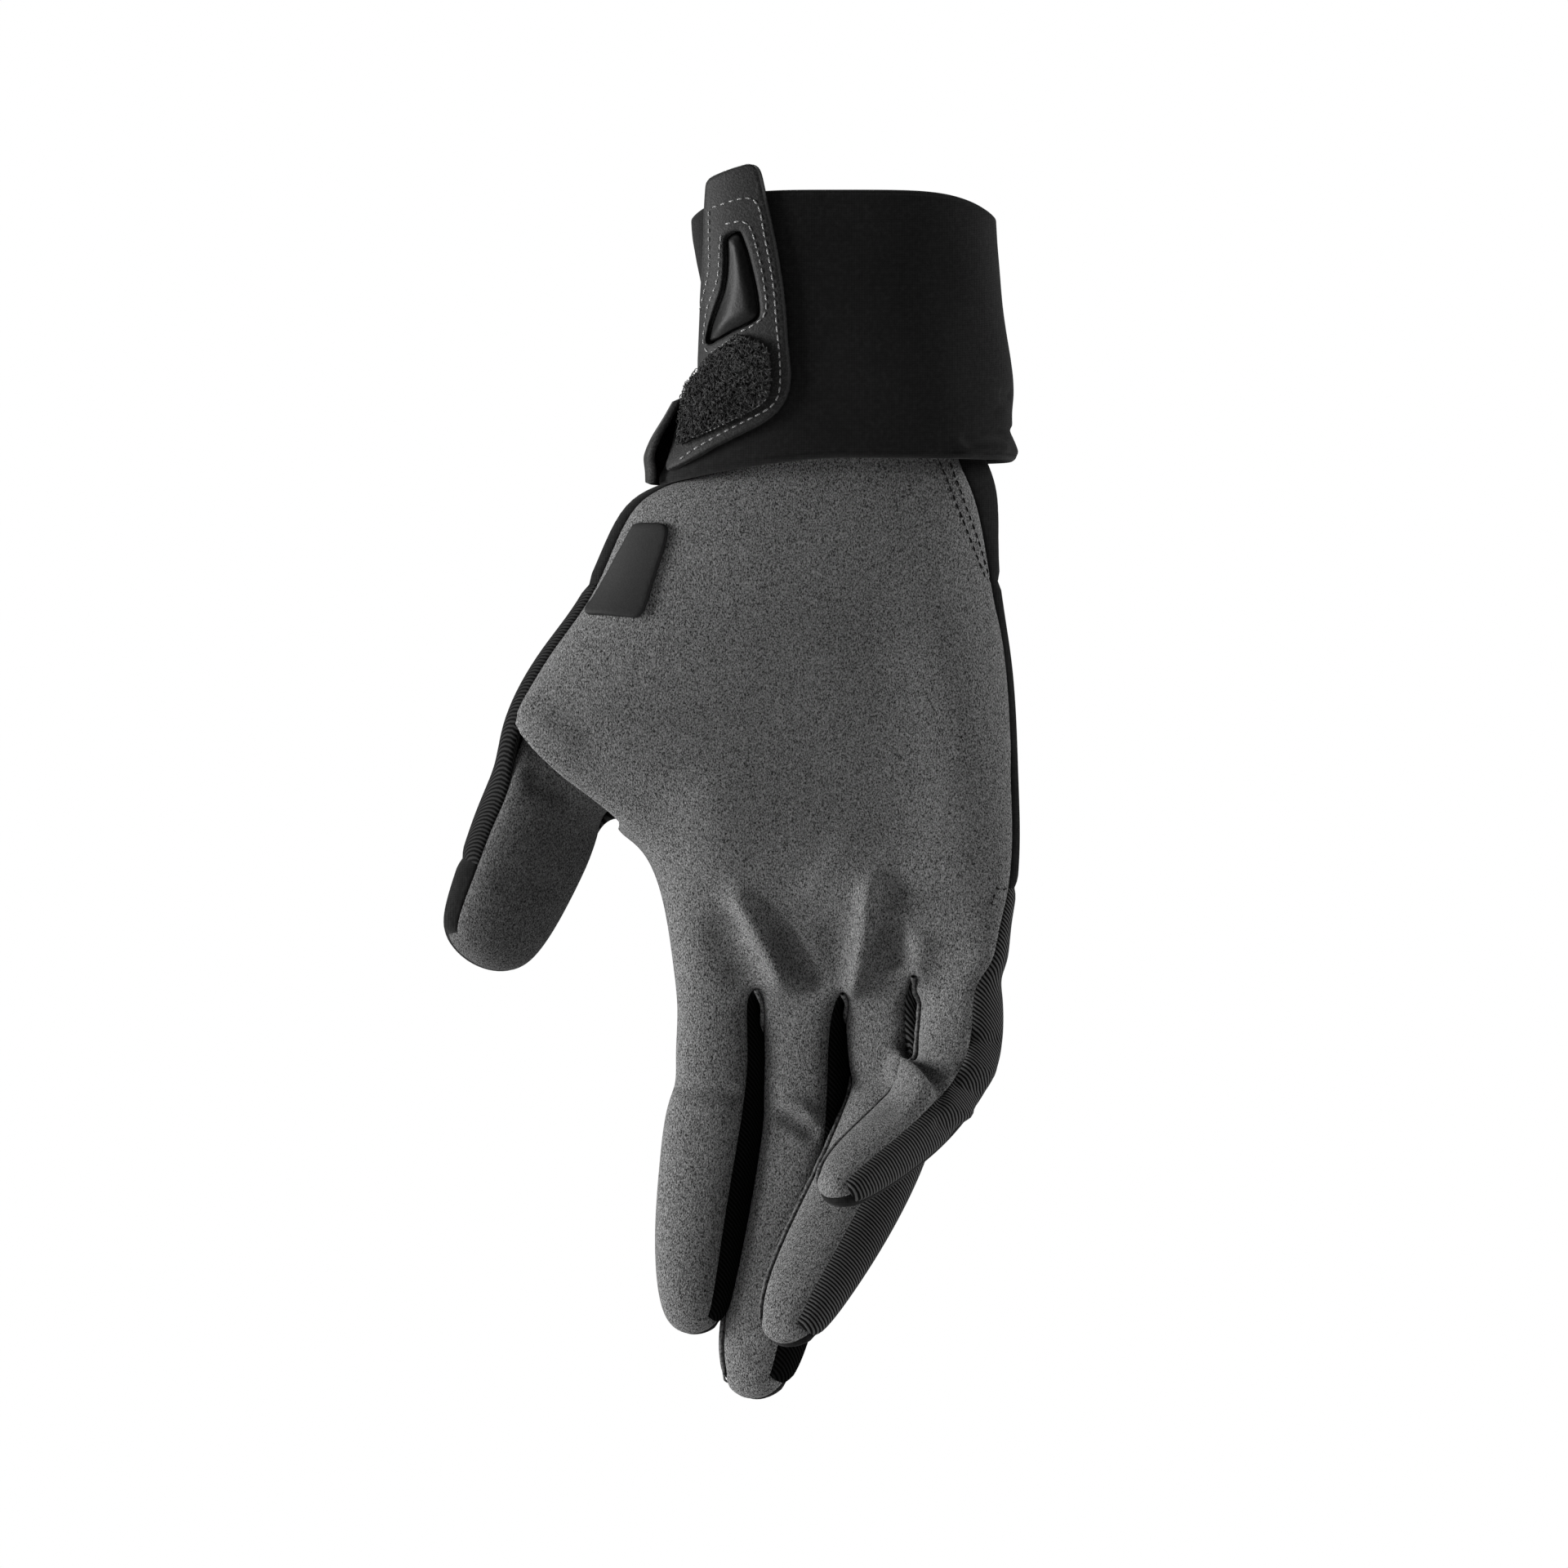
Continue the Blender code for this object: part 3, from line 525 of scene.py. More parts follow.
STATIONS = (
    Station(-0.462, 0.000, 0.425, -0.040, 0.02, 1.02, 0.00, 0.00, -0.50, -0.74),
    Station(-0.486, 0.042, 0.466, 0.000, 0.02, 1.04, 0.00, 0.00, -0.50, -0.84),
    Station(-0.692, 0.062, 0.512, 0.074, 0.02, 1.12, 0.05, 0.00, -0.46, -0.72),
    Station(-0.778, 0.248, 0.474, 0.236, 0.03, 1.12, 0.15, 0.04, -0.44, -0.12),
    Station(-0.930, 0.352, 0.522, 0.361, 0.04, 1.08, 0.30, 0.08, -0.44, 0.10),
    Station(-1.055, 0.489, 0.540, 0.483, 0.06, 1.02, 0.45, 0.12, -0.42, 0.12),
    Station(-0.885, 0.588, 0.540, 0.596, 0.07, 0.98, 0.60, 0.14, -0.50, 0.10),
    Station(-0.690, 0.660, 0.540, 0.703, 0.08, 0.95, 0.75, 0.12, -0.46, 0.02),
    Station(-0.588, 0.762, 0.526, 0.810, 0.09, 0.90, 0.90, 0.06, -0.50, -0.28),
    Station(-0.550, 0.862, 0.512, 0.880, 0.10, 0.84, 1.05, 0.02, -0.52, -0.52),
    Station(-0.530, 0.972, 0.515, 0.945, 0.10, 0.74, 1.15, 0.00, -0.54, -0.62),
)
THUMB_TOP, THUMB_MIDDLE, THUMB_FOOT = 5, 6, 7
GUSSET_END, STRIP_END, ULNAR_START = 3, 3, 8
COLUMNS = 9
CROTCHES = (0.258, 0.511, 0.700)
CROTCH_DROP = (0.034, 0.046, 0.000)
SECTION_POWER = 2.5
CUP_CENTRE = 0.30
HOLLOW_CENTRE, HOLLOW_WIDTH = 0.62, 0.20
BACK_CORNER = 0.72


@dataclass(frozen=True)
class Ring:
    """One ring of a finger: its centre in shares of the finger's length, its width and depth in its own."""

    x: float
    y: float
    z: float
    width: float
    depth: float


@dataclass(frozen=True)
class Finger:
    """A finger: its length, its width as a share of the palm's, its roll in degrees, its rings and its tip.

    Left and right are how much further its black side walls bulge, as shares of its half width.
    """

    length: float
    width: float
    roll: float
    rings: tuple[Ring, ...]
    tip: tuple[float, float, float]
    left: float = 0.0
    right: float = 0.0


INDEX = Finger(
    INDEX_LENGTH,
    0.250,
    17.0,
    (
        Ring(0.003, -0.003, 0.085, 0.92, 1.02),
        Ring(0.003, -0.010, 0.205, 1.00, 1.03),
        Ring(0.002, -0.016, 0.288, 0.95, 0.94),
        Ring(-0.016, -0.024, 0.365, 1.09, 1.03),
        Ring(-0.036, -0.042, 0.515, 1.05, 0.98),
        Ring(-0.058, -0.066, 0.685, 0.98, 0.92),
        Ring(-0.068, -0.088, 0.835, 0.84, 0.82),
        Ring(-0.070, -0.105, 0.935, 0.60, 0.58),
    ),
    (-0.074, -0.112, 0.992),
    right=0.16,
)
MIDDLE = Finger(
    MIDDLE_LENGTH,
    0.243,
    26.0,
    (
        Ring(0.008, -0.003, 0.096, 0.91, 1.02),
        Ring(0.006, -0.009, 0.210, 0.96, 1.03),
        Ring(0.004, -0.015, 0.295, 0.95, 0.95),
        Ring(0.000, -0.020, 0.370, 1.02, 1.03),
        Ring(-0.022, -0.030, 0.495, 1.00, 1.00),
        Ring(-0.060, -0.046, 0.645, 0.98, 0.95),
        Ring(-0.098, -0.066, 0.805, 0.96, 0.88),
        Ring(-0.112, -0.084, 0.920, 0.70, 0.64),
    ),
    (-0.106, -0.092, 0.988),
    left=0.14,
    right=0.24,
)
RING = Finger(
    RING_LENGTH,
    0.243,
    36.0,
    (
        Ring(0.013, 0.006, 0.096, 0.88, 0.98),
        Ring(0.018, 0.004, 0.193, 0.92, 0.96),
        Ring(0.030, -0.008, 0.258, 0.86, 0.90),
        Ring(0.018, -0.036, 0.338, 0.98, 0.98),
        Ring(-0.038, -0.094, 0.475, 1.00, 0.98),
        Ring(-0.116, -0.172, 0.620, 0.98, 0.94),
        Ring(-0.196, -0.246, 0.762, 0.86, 0.84),
        Ring(-0.237, -0.288, 0.860, 0.62, 0.60),
    ),
    (-0.254, -0.310, 0.918),
    left=0.10,
    right=0.34,
)
LITTLE = Finger(
    LITTLE_LENGTH,
    0.236,
    43.0,
    (
        Ring(0.022, -0.030, 0.093, 0.92, 0.95),
        Ring(0.020, -0.060, 0.222, 0.96, 0.98),
        Ring(0.000, -0.095, 0.325, 0.98, 1.00),
        Ring(-0.050, -0.145, 0.418, 0.91, 0.89),
        Ring(-0.130, -0.212, 0.508, 0.94, 0.92),
        Ring(-0.240, -0.295, 0.603, 0.92, 0.88),
        Ring(-0.353, -0.382, 0.688, 0.82, 0.80),
        Ring(-0.426, -0.438, 0.755, 0.58, 0.58),
    ),
    (-0.474, -0.478, 0.798),
    left=0.26,
)
THUMB = Finger(
    THUMB_LENGTH,
    1.0,
    -10.0,
    (
        Ring(-0.120, 0.060, 0.145, 1.06, 1.00),
        Ring(-0.190, 0.070, 0.308, 1.06, 1.03),
        Ring(-0.270, 0.070, 0.508, 1.00, 1.00),
        Ring(-0.355, 0.060, 0.695, 0.93, 0.92),
        Ring(-0.430, 0.040, 0.840, 0.74, 0.70),
    ),
    (-0.476, 0.025, 0.930),
)
FINGERS = (INDEX, MIDDLE, RING, LITTLE)
THUMB_TIP_START = 3

# The eight points round a finger: how far to the little finger's side, and how far to its palm side
FINGER_SECTION = np.array(
    [(-0.84, 0.82), (-0.10, 1.06), (0.84, 0.58), (1, -0.1), (0.82, -0.80), (0, -1), (-0.82, -0.80), (-1, 0)]
)
# Which of those points a bulge to the left, and one to the right, moves outwards
SIDE_POINTS = np.zeros((2, 8, 2))
SIDE_POINTS[0, 6:8, 0] = -1
SIDE_POINTS[1, 3:5, 0] = 1
# The front edges beside them, which follow near the finger's root
FRONT_POINTS = np.zeros((2, 8, 2))
FRONT_POINTS[0, 0, 0] = -0.7
FRONT_POINTS[1, 2, 0] = 1.0
ROOT_RINGS = 4
# How much smaller than its cage a subdivided finger comes out
SHRINK = 0.905
SUBDIVISIONS = 3


def side_share(seam: float) -> float:
    """How far in from the side a point lies, as a share of the width, where its depth share is seam."""
    return 0.5 * (1 - (1 - abs(seam) ** SECTION_POWER) ** (1 / SECTION_POWER))


class Cage:
    """The hand's quad cage: its points, its faces and the panel of each face."""

    def __init__(self) -> None:
        self.points: list[np.ndarray] = []
        self.faces: list[tuple[int, ...]] = []
        self.owners: list[int] = []
        self.grow_palm()

    def add_points(self, points: Iterable[np.ndarray]) -> list[int]:
        """Adds points and returns their places.

        Args:
            points: the points.

        Returns:
            Their places, in order.
        """
        first = len(self.points)
        self.points += [np.asarray(p, float) for p in points]
        return list(range(first, len(self.points)))

    def join_rings(self, upper: list[int], lower: list[int], panels: Sequence[Panel | None]) -> None:
        """Adds quads between two rings, each of the panel at its place; None leaves a hole.

        Args:
            upper: the upper ring's places.
            lower: the lower ring's places.
            panels: the panel of each quad round the rings.
        """
        for i, panel in enumerate(panels):
            if panel is not None:
                j = (i + 1) % len(upper)
                self.faces.append((upper[i], lower[i], lower[j], upper[j]))
                self.owners.append(PANELS.index(panel))

    @staticmethod
    def column_shares() -> np.ndarray:
        """The shares across the palm of its nine columns; every other one inside is a crotch.

        Returns:
            Nine shares from 0 to 1.
        """
        edges = np.array((0.0,) + CROTCHES + (1.0,))
        shares = np.empty(COLUMNS)
        shares[0::2] = edges
        shares[1::2] = (edges[:-1] + edges[1:]) / 2
        return shares

    @staticmethod
    def palm_points(station: Station, across: np.ndarray, depth: np.ndarray, drop: np.ndarray) -> np.ndarray:
        """Points of a palm ring at those shares across it and of its half depth, -1 front, 1 back.

        Args:
            station: the ring's sizes.
            across: the shares across the palm.
            depth: the shares of half its depth.
            drop: how much lower each point lies, as a share.

        Returns:
            The points in millimetres.
        """
        x = station.radial_x + (station.ulnar_x - station.radial_x) * across
        z = station.radial_z + (station.ulnar_z - station.radial_z) * across + drop
        hollow = np.where(depth < 0, station.hollow * bell(across - HOLLOW_CENTRE, HOLLOW_WIDTH), 0.0)
        y = station.middle - station.cup * (across - CUP_CENTRE) ** 2 + hollow + depth * station.depth / 2
        return np.stack([x * PALM_WIDTH, y * PALM_DEPTH, -CUFF_LENGTH - z * PALM_LENGTH], axis=1)

    def palm_ring(self, station: Station, last: bool) -> list[int]:
        """Adds a ring's twenty points: nine in front, the ulnar side, nine behind, the radial side.

        Args:
            station: the ring's sizes.
            last: whether it is the ring at the fingers' roots.

        Returns:
            The twenty points' places.
        """
        across = self.column_shares()
        drop = np.zeros(COLUMNS)
        if last:
            drop[2:8:2] = CROTCH_DROP
        bulge = (1 - np.abs(2 * across - 1) ** SECTION_POWER) ** (1 / SECTION_POWER)
        front, back = across.copy(), across.copy()
        front_depth, back_depth = -bulge, bulge.copy()
        front[0], front_depth[0] = side_share(station.radial_seam), station.radial_seam
        front[-1], front_depth[-1] = 1 - side_share(station.ulnar_seam), station.ulnar_seam
        back[0], back[-1] = side_share(BACK_CORNER), 1 - side_share(BACK_CORNER)
        back_depth[0] = back_depth[-1] = BACK_CORNER
        ulnar = (station.ulnar_seam + BACK_CORNER) / 2
        radial = (station.radial_seam + BACK_CORNER) / 2
        shares = np.concatenate([front, [1 - side_share(ulnar)], back[::-1], [side_share(radial)]])
        depths = np.concatenate([front_depth, [ulnar], back_depth[::-1], [radial]])
        drops = np.concatenate([drop, [0.0], drop[::-1], [0.0]])
        return self.add_points(self.palm_points(station, shares, depths, drops))

    @staticmethod
    def band_panels(band: int) -> tuple[Panel | None, ...]:
        """The panel of each of the twenty quads between two rings of the palm.

        Args:
            band: the number of the upper ring.

        Returns:
            Twenty panels, None where the thumb grows.
        """
        if band < GUSSET_END:
            ulnar = Panel.GUSSET
        else:
            ulnar = Panel.BACK if band < ULNAR_START else Panel.ULNAR
        if band < STRIP_END:
            radial = (Panel.STRIP, Panel.STRIP)
        elif band < THUMB_TOP:
            radial = (Panel.THUMB_BACK, Panel.THUMB_BACK)
        elif band < THUMB_FOOT:
            radial = (None, None)
        else:
            radial = (Panel.BACK, Panel.PALM)
        return (Panel.PALM,) * 8 + (ulnar,) * 2 + (Panel.BACK,) * 8 + radial

    def grow_palm(self) -> None:
        """Builds the palm and grows the fingers and the thumb from it."""
        last = len(STATIONS) - 1
        rings = [self.palm_ring(station, k == last) for k, station in enumerate(STATIONS)]
        for band, (upper, lower) in enumerate(zip(rings, rings[1:])):
            self.join_rings(upper, lower, self.band_panels(band))
        front = rings[last][:COLUMNS]
        back = rings[last][COLUMNS + 1 : 2 * COLUMNS + 1][::-1]
        middles = self.add_points((self.points[front[c]] + self.points[back[c]]) / 2 for c in (2, 4, 6))
        rights = middles + [rings[last][COLUMNS]]
        lefts = [rings[last][-1]] + middles
        walls = (Panel.WALL_INDEX, Panel.WALL_MIDDLE, Panel.WALL_RING, Panel.ULNAR)
        for k, finger in enumerate(FINGERS):
            c = 2 * k
            root = [*front[c : c + 3], rights[k], back[c + 2], back[c + 1], back[c], lefts[k]]
            left = Panel.BACK if k == 0 else walls[k - 1]
            left_front = Panel.PALM if k == 0 else left
            around = (Panel.PALM,) * 2 + (walls[k],) * 2 + (Panel.BACK,) * 2 + (left, left_front)
            tip = (Panel.PALM, Panel.PALM, Panel.BACK, Panel.BACK)
            size = np.array([finger.width * PALM_WIDTH, FINGER_DEPTH])
            self.grow_finger(finger, root, size, [around] * len(finger.rings), tip)
        top, middle, foot = (rings[k] for k in (THUMB_TOP, THUMB_MIDDLE, THUMB_FOOT))
        hole = [top[0], middle[0], foot[0], foot[19], foot[18], middle[18], top[18], top[19]]
        behind = [Panel.THUMB_BACK] * THUMB_TIP_START + [Panel.THUMB_TIP] * len(THUMB.rings)
        around = [(Panel.THUMB_FRONT,) * 3 + (panel,) * 5 for panel in behind]
        tip = (Panel.THUMB_FRONT,) * 2 + (Panel.THUMB_TIP,) * 2
        self.grow_finger(THUMB, hole, np.array([THUMB_WIDTH, THUMB_DEPTH]), around, tip)

    def grow_finger(
        self,
        finger: Finger,
        root: list[int],
        size: np.ndarray,
        around: Sequence[Sequence[Panel]],
        tip: Sequence[Panel],
    ) -> None:
        """Grows a finger from its root ring.

        Args:
            finger: the finger's form.
            root: the places of the eight points that it grows from.
            size: its width and depth.
            around: for each ring, the panels of its eight quads.
            tip: the panels of the four quads that close it.
        """
        start = np.mean([self.points[i] for i in root], axis=0)
        centres = [(r.x, r.y, -r.z) for r in finger.rings]
        offsets = np.array([(0, 0, 0), *centres, (*finger.tip[:2], -finger.tip[2])])
        places = start + offsets * finger.length
        roll = math.radians(finger.roll)
        upper = root
        for k, ring in enumerate(finger.rings):
            along = unit(places[k + 2] - places[k])
            across = np.array([math.cos(roll), -math.sin(roll), 0.0])
            across = unit(across - (across @ along) * along)
            palmward = np.cross(along, across)
            half = size * (ring.width, ring.depth) / 2 / SHRINK
            fade = max(0.0, 1 - k / ROOT_RINGS)
            wide = FINGER_SECTION + SIDE_POINTS[0] * finger.left + SIDE_POINTS[1] * finger.right
            wide = wide + FRONT_POINTS[0] * finger.left * fade + FRONT_POINTS[1] * finger.right * fade
            section = wide * half
            points = places[k + 1] + section[:, :1] * across + section[:, 1:] * palmward
            lower = self.add_points(points)
            self.join_rings(upper, lower, around[k])
            upper = lower
        point = self.add_points([places[-1]])[0]
        for i, panel in zip((7, 1, 3, 5), tip):
            self.faces.append((upper[i], point, upper[(i + 2) % 8], upper[(i + 1) % 8]))
            self.owners.append(PANELS.index(panel))


# Folds in the cloth


class Shape(Enum):
    """How a fold's height falls away from its line."""

    ROUND = "round"
    STEP = "step"


# The step between a fold line's points, and the share of it over which the fold fades in at each end
FOLD_STEP, FOLD_ENDS = 1.5, 0.22
# How wide a step's drop is, how deep the dip at its foot is, and how far that reaches, as shares
DROP_WIDTH, DROP_DIP, DROP_REACH = 1.4, 0.35, 0.6


@dataclass(frozen=True)
class Fold:
    """A ridge, a groove or a step in the cloth along a line in the photograph.

    Attributes:
        line: the fold's line, in pixels.
        width: how far it reaches to each side, in millimetres.
        height: how far it stands out, in millimetres; below 0 it is a groove.
        shape: round falls away on both sides. A step is full height just left of the way the line runs,
            falls away slowly there, and drops at once on its right.
        panels: the panels that it shapes.
    """

    line: Path
    width: float
    height: float
    shape: Shape = Shape.ROUND
    panels: tuple[Panel, ...] = (Panel.PALM,)

    def lift(self, plane: np.ndarray) -> np.ndarray:
        """How far the fold lifts points given by their x and z.

        Args:
            plane: the x and z of the points.

        Returns:
            One lift a point, in millimetres.
        """
        distance, along, side = to_path(plane, resample(from_photo(self.line), FOLD_STEP))
        ends = smooth(np.minimum(along, 1 - along) / FOLD_ENDS)
        if self.shape is Shape.ROUND:
            return self.height * bell(distance, self.width) * ends
        signed = distance * side
        high = smooth(signed / DROP_WIDTH + 0.5) * (1 - smooth(signed / self.width))
        reach = DROP_REACH * self.width
        low = -DROP_DIP * smooth(0.5 - signed / DROP_WIDTH) * (1 - smooth(-signed / reach))
        return self.height * (high + low) * ends


THUMB_FACE = (Panel.THUMB_FRONT,)
ULNAR_SIDE = (Panel.ULNAR, Panel.BACK)

HAND_FOLDS = (
    # Grooves and ridges from the palm into the roots of the fingers
    Fold(((893, 1075), (915, 1118), (934, 1152), (952, 1186), (972, 1222)), 2.4, 3.0),
    Fold(((948, 1120), (968, 1156), (988, 1190), (1010, 1218)), 2.4, -2.4),
    Fold(((1072, 1060), (1064, 1125), (1052, 1178), (1040, 1230)), 2.8, 3.4),
    Fold(((1085, 1125), (1094, 1158), (1102, 1190)), 3.4, -2.4),
    Fold(((1030, 1120), (1025, 1165), (1024, 1205)), 4.5, -1.4),
    Fold(((1128, 1130), (1122, 1170), (1122, 1230)), 3.2, 1.6),
    Fold(((880, 1110), (900, 1170), (922, 1215)), 4.5, -1.6),
    # Soft hollows and pads of the palm
    Fold(((1070, 690), (1095, 830), (1110, 930), (1120, 1070)), 12.0, -2.8),
    Fold(((1175, 740), (1190, 850), (1195, 960)), 9.0, 1.0),
    Fold(((1000, 1040), (1050, 1080), (1085, 1100)), 9.0, 1.6),
    Fold(((860, 940), (880, 1020), (870, 1090)), 8.0, 1.2),
    Fold(((740, 880), (830, 876), (920, 877), (990, 872)), 1.2, -0.45),
    Fold(((860, 1020), (920, 1016), (990, 1014)), 1.2, -0.35),
    Fold(((655, 880), (685, 898), (712, 912)), 2.5, 0.9),
    # Creases where the fingers bend
    Fold(((946, 1362), (975, 1374), (1006, 1390)), 1.6, -2.0),
    Fold(((950, 1346), (980, 1356), (1006, 1374)), 1.8, 1.4),
    Fold(((812, 1338), (835, 1330), (880, 1334), (915, 1340)), 1.6, -0.8),
    Fold(((812, 1352), (850, 1350), (905, 1356)), 2.5, 0.5),
    Fold(((1040, 1330), (1065, 1320), (1096, 1322)), 1.8, -1.1),
    # The little finger's fold, which stands out over its upper part
    Fold(((1148, 1346), (1130, 1316), (1108, 1290), (1090, 1280)), 10.0, 4.0, Shape.STEP),
    # Creases of the thumb
    Fold(((640, 950), (670, 962), (705, 975)), 2.5, -0.9, panels=THUMB_FACE),
    Fold(((600, 1085), (640, 1078), (690, 1080)), 3.0, -0.5, panels=THUMB_FACE),
    # Cross folds of the ribbed side of the little finger
    Fold(((1180, 1262), (1205, 1272), (1228, 1274)), 1.5, -1.0, panels=ULNAR_SIDE),
    Fold(((1172, 1290), (1198, 1304), (1220, 1310)), 1.8, 1.0, panels=ULNAR_SIDE),
    Fold(((1160, 1318), (1190, 1332), (1206, 1340)), 1.6, -1.2, panels=ULNAR_SIDE),
    Fold(((1150, 1345), (1175, 1356), (1192, 1362)), 1.6, 1.0, panels=ULNAR_SIDE),
    Fold(((1140, 1365), (1160, 1376), (1180, 1382)), 1.5, -0.8, panels=ULNAR_SIDE),
)

# How far the palm stands over the thumb at their seam, the thumb sinks under it, and both reach
LIP_RISE, LIP_SINK, LIP_REACH = 2.2, 3.2, 6.5
SEAM_DIP, SEAM_REACH = 0.55, 1.3
# Rays towards the palm start this far in front of it
RAY_START = -200.0


class Hand:
    """The glove below the cuff as a fine quad surface, with its seams."""

    def __init__(self) -> None:
        self.points, self.quads, self.owners = self.subdivide(Cage())
        self.normals = self.point_normals()
        self.edges, self.edge_owners = self.find_seams()
        self.fold()
        self.normals = self.point_normals()
        self.tree = BVHTree.FromPolygons([Vector(p) for p in self.points], self.quads.tolist())

    @staticmethod
    def subdivide(cage: Cage) -> tuple[np.ndarray, np.ndarray, np.ndarray]:
        """The cage after Catmull-Clark subdivision: points, quads, and each quad's panel.

        Args:
            cage: the cage.

        Returns:
            The points, the quads and the panel of each quad.
        """
        mesh = bpy.data.meshes.new("cage")
        mesh.from_pydata([tuple(p) for p in cage.points], [], cage.faces)
        mesh.polygons.foreach_set("material_index", cage.owners)
        for _ in PANELS:
            mesh.materials.append(None)
        helper = bpy.data.objects.new("cage", mesh)
        bpy.context.scene.collection.objects.link(helper)
        modifier = helper.modifiers.new("Subdivision", "SUBSURF")
        modifier.levels = modifier.render_levels = SUBDIVISIONS
        fine = helper.evaluated_get(bpy.context.evaluated_depsgraph_get()).to_mesh()
        points = np.empty(len(fine.vertices) * 3)
        fine.vertices.foreach_get("co", points)
        quads = np.empty(len(fine.loops), np.int64)
        fine.loops.foreach_get("vertex_index", quads)
        owners = np.empty(len(fine.polygons), np.int64)
        fine.polygons.foreach_get("material_index", owners)
        bpy.data.objects.remove(helper)
        return points.reshape(-1, 3), quads.reshape(-1, 4), owners

    def point_normals(self) -> np.ndarray:
        """The unit normal at each point, the mean of its quads' normals by area.

        Returns:
            One normal a point.
        """
        a, b, c, d = (self.points[self.quads[:, k]] for k in range(4))
        flat = np.cross(c - a, d - b)
        normals = np.zeros_like(self.points)
        for k in range(4):
            np.add.at(normals, self.quads[:, k], flat)
        return unit(normals)

    def find_seams(self) -> tuple[np.ndarray, np.ndarray]:
        """The edges between two panels, and the two panels of each.

        Returns:
            The edges, and the lower and higher panel number of each.
        """
        edges = np.stack([self.quads, np.roll(self.quads, -1, axis=1)], axis=2).reshape(-1, 2)
        owners = np.repeat(self.owners, 4)
        pairs, place = np.unique(np.sort(edges, axis=1), axis=0, return_inverse=True)
        place = place.reshape(-1)
        lowest = np.full(len(pairs), len(PANELS))
        highest = np.full(len(pairs), -1)
        np.minimum.at(lowest, place, owners)
        np.maximum.at(highest, place, owners)
        seam = lowest != highest
        return pairs[seam], np.stack([lowest[seam], highest[seam]], axis=1)

    def seam_between(self, one: Panel, other: Panel) -> np.ndarray:
        """The edges of the seam between two panels."""
        pair = sorted((PANELS.index(one), PANELS.index(other)))
        return self.edges[(self.edge_owners == pair).all(1)]

    def chain(self, one: Panel, other: Panel) -> np.ndarray:
        """The places of the points along the longest run of the seam between two panels, in order.

        Args:
            one: a panel.
            other: the panel on the other side of the seam.

        Returns:
            The points' places in order.
        """
        near: dict[int, list[int]] = {}
        for a, b in self.seam_between(one, other).tolist():
            near.setdefault(a, []).append(b)
            near.setdefault(b, []).append(a)
        runs = []
        left = set(near)
        while left:
            ends = [p for p in left if len(near[p]) == 1] or list(left)
            run = [min(ends)]
            left.discard(run[0])
            while True:
                onward = [p for p in near[run[-1]] if p in left]
                if not onward:
                    break
                run.append(onward[0])
                left.discard(onward[0])
            runs.append(run)
        return np.array(max(runs, key=len))

    def owned(self, panels: Iterable[Panel]) -> np.ndarray:
        """Which points belong to any of the panels.

        Args:
            panels: the panels.

        Returns:
            True for each such point.
        """
        wanted = np.isin(self.owners, [PANELS.index(p) for p in panels])
        mask = np.zeros(len(self.points), bool)
        mask[self.quads[wanted].ravel()] = True
        return mask

    def fold(self) -> None:
        """Presses the folds into the surface and rolls it down along its seams."""
        lift = np.zeros(len(self.points))
        facing = smooth(-self.normals[:, 1] / 0.5 + 0.2)
        for fold in HAND_FOLDS:
            mask = self.owned(fold.panels)
            mask[mask] = facing[mask] > 0
            lift[mask] += fold.lift(self.points[mask][:, [0, 2]]) * facing[mask]
        seams = self.points[np.unique(self.edges)]
        lift -= SEAM_DIP * bell(distance_to_points(self.points, seams), SEAM_REACH)
        self.points = self.points + self.normals * lift[:, None]

    def under(self, plane: np.ndarray) -> tuple[np.ndarray, np.ndarray]:
        """The points and normals of the palm's side at places given by x and z.

        Args:
            plane: the x and z of the places.

        Returns:
            The points and their normals.
        """
        hits = [self.tree.ray_cast(Vector((x, RAY_START, z)), Vector((0, 1, 0))) for x, z in plane]
        missed = Vector((0.0, 0.0, 0.0)), Vector((0.0, -1.0, 0.0))
        found = [(h[0], h[1]) if h[0] is not None else missed for h in hits]
        return np.array([f[0][:] for f in found]), np.array([f[1][:] for f in found])


# Meshes and pieces


def add_mesh(
    name: str, points: np.ndarray, faces: Iterable[Sequence[int]], finish: Finish
) -> bpy.types.Object:
    """Adds a smooth mesh object from points in millimetres.

    Args:
        name: the object's name.
        points: its points in millimetres.
        faces: its faces.
        finish: its finish.

    Returns:
        The object.
    """
    mesh = bpy.data.meshes.new(name)
    mesh.from_pydata((np.asarray(points) * MM).tolist(), [], [tuple(f) for f in faces])
    mesh.validate()
    mesh.shade_smooth()
    mesh.materials.append(finish.material())
    obj = bpy.data.objects.new(name, mesh)
    bpy.context.scene.collection.objects.link(obj)
    return obj


def place_piece(obj: bpy.types.Object, finish: Finish, *nodes: str) -> None:
    """Fixes a piece to the glove, in place of those CAD nodes.

    Args:
        obj: the piece.
        finish: not used.
        nodes: the CAD nodes that it replaces.
    """
    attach(obj, "root")
    if nodes:
        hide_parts(*nodes)
    log.info("%s: %d faces", obj.name, len(obj.data.polygons))


def border_edges(faces: np.ndarray) -> np.ndarray:
    """The directed edges that only one of the faces has.

    Args:
        faces: the faces.

    Returns:
        The edges, two places a row.
    """
    edges = np.stack([faces, np.roll(faces, -1, axis=1)], axis=2).reshape(-1, 2)
    _, first, count = np.unique(np.sort(edges, axis=1), axis=0, return_index=True, return_counts=True)
    return edges[first[count == 1]]


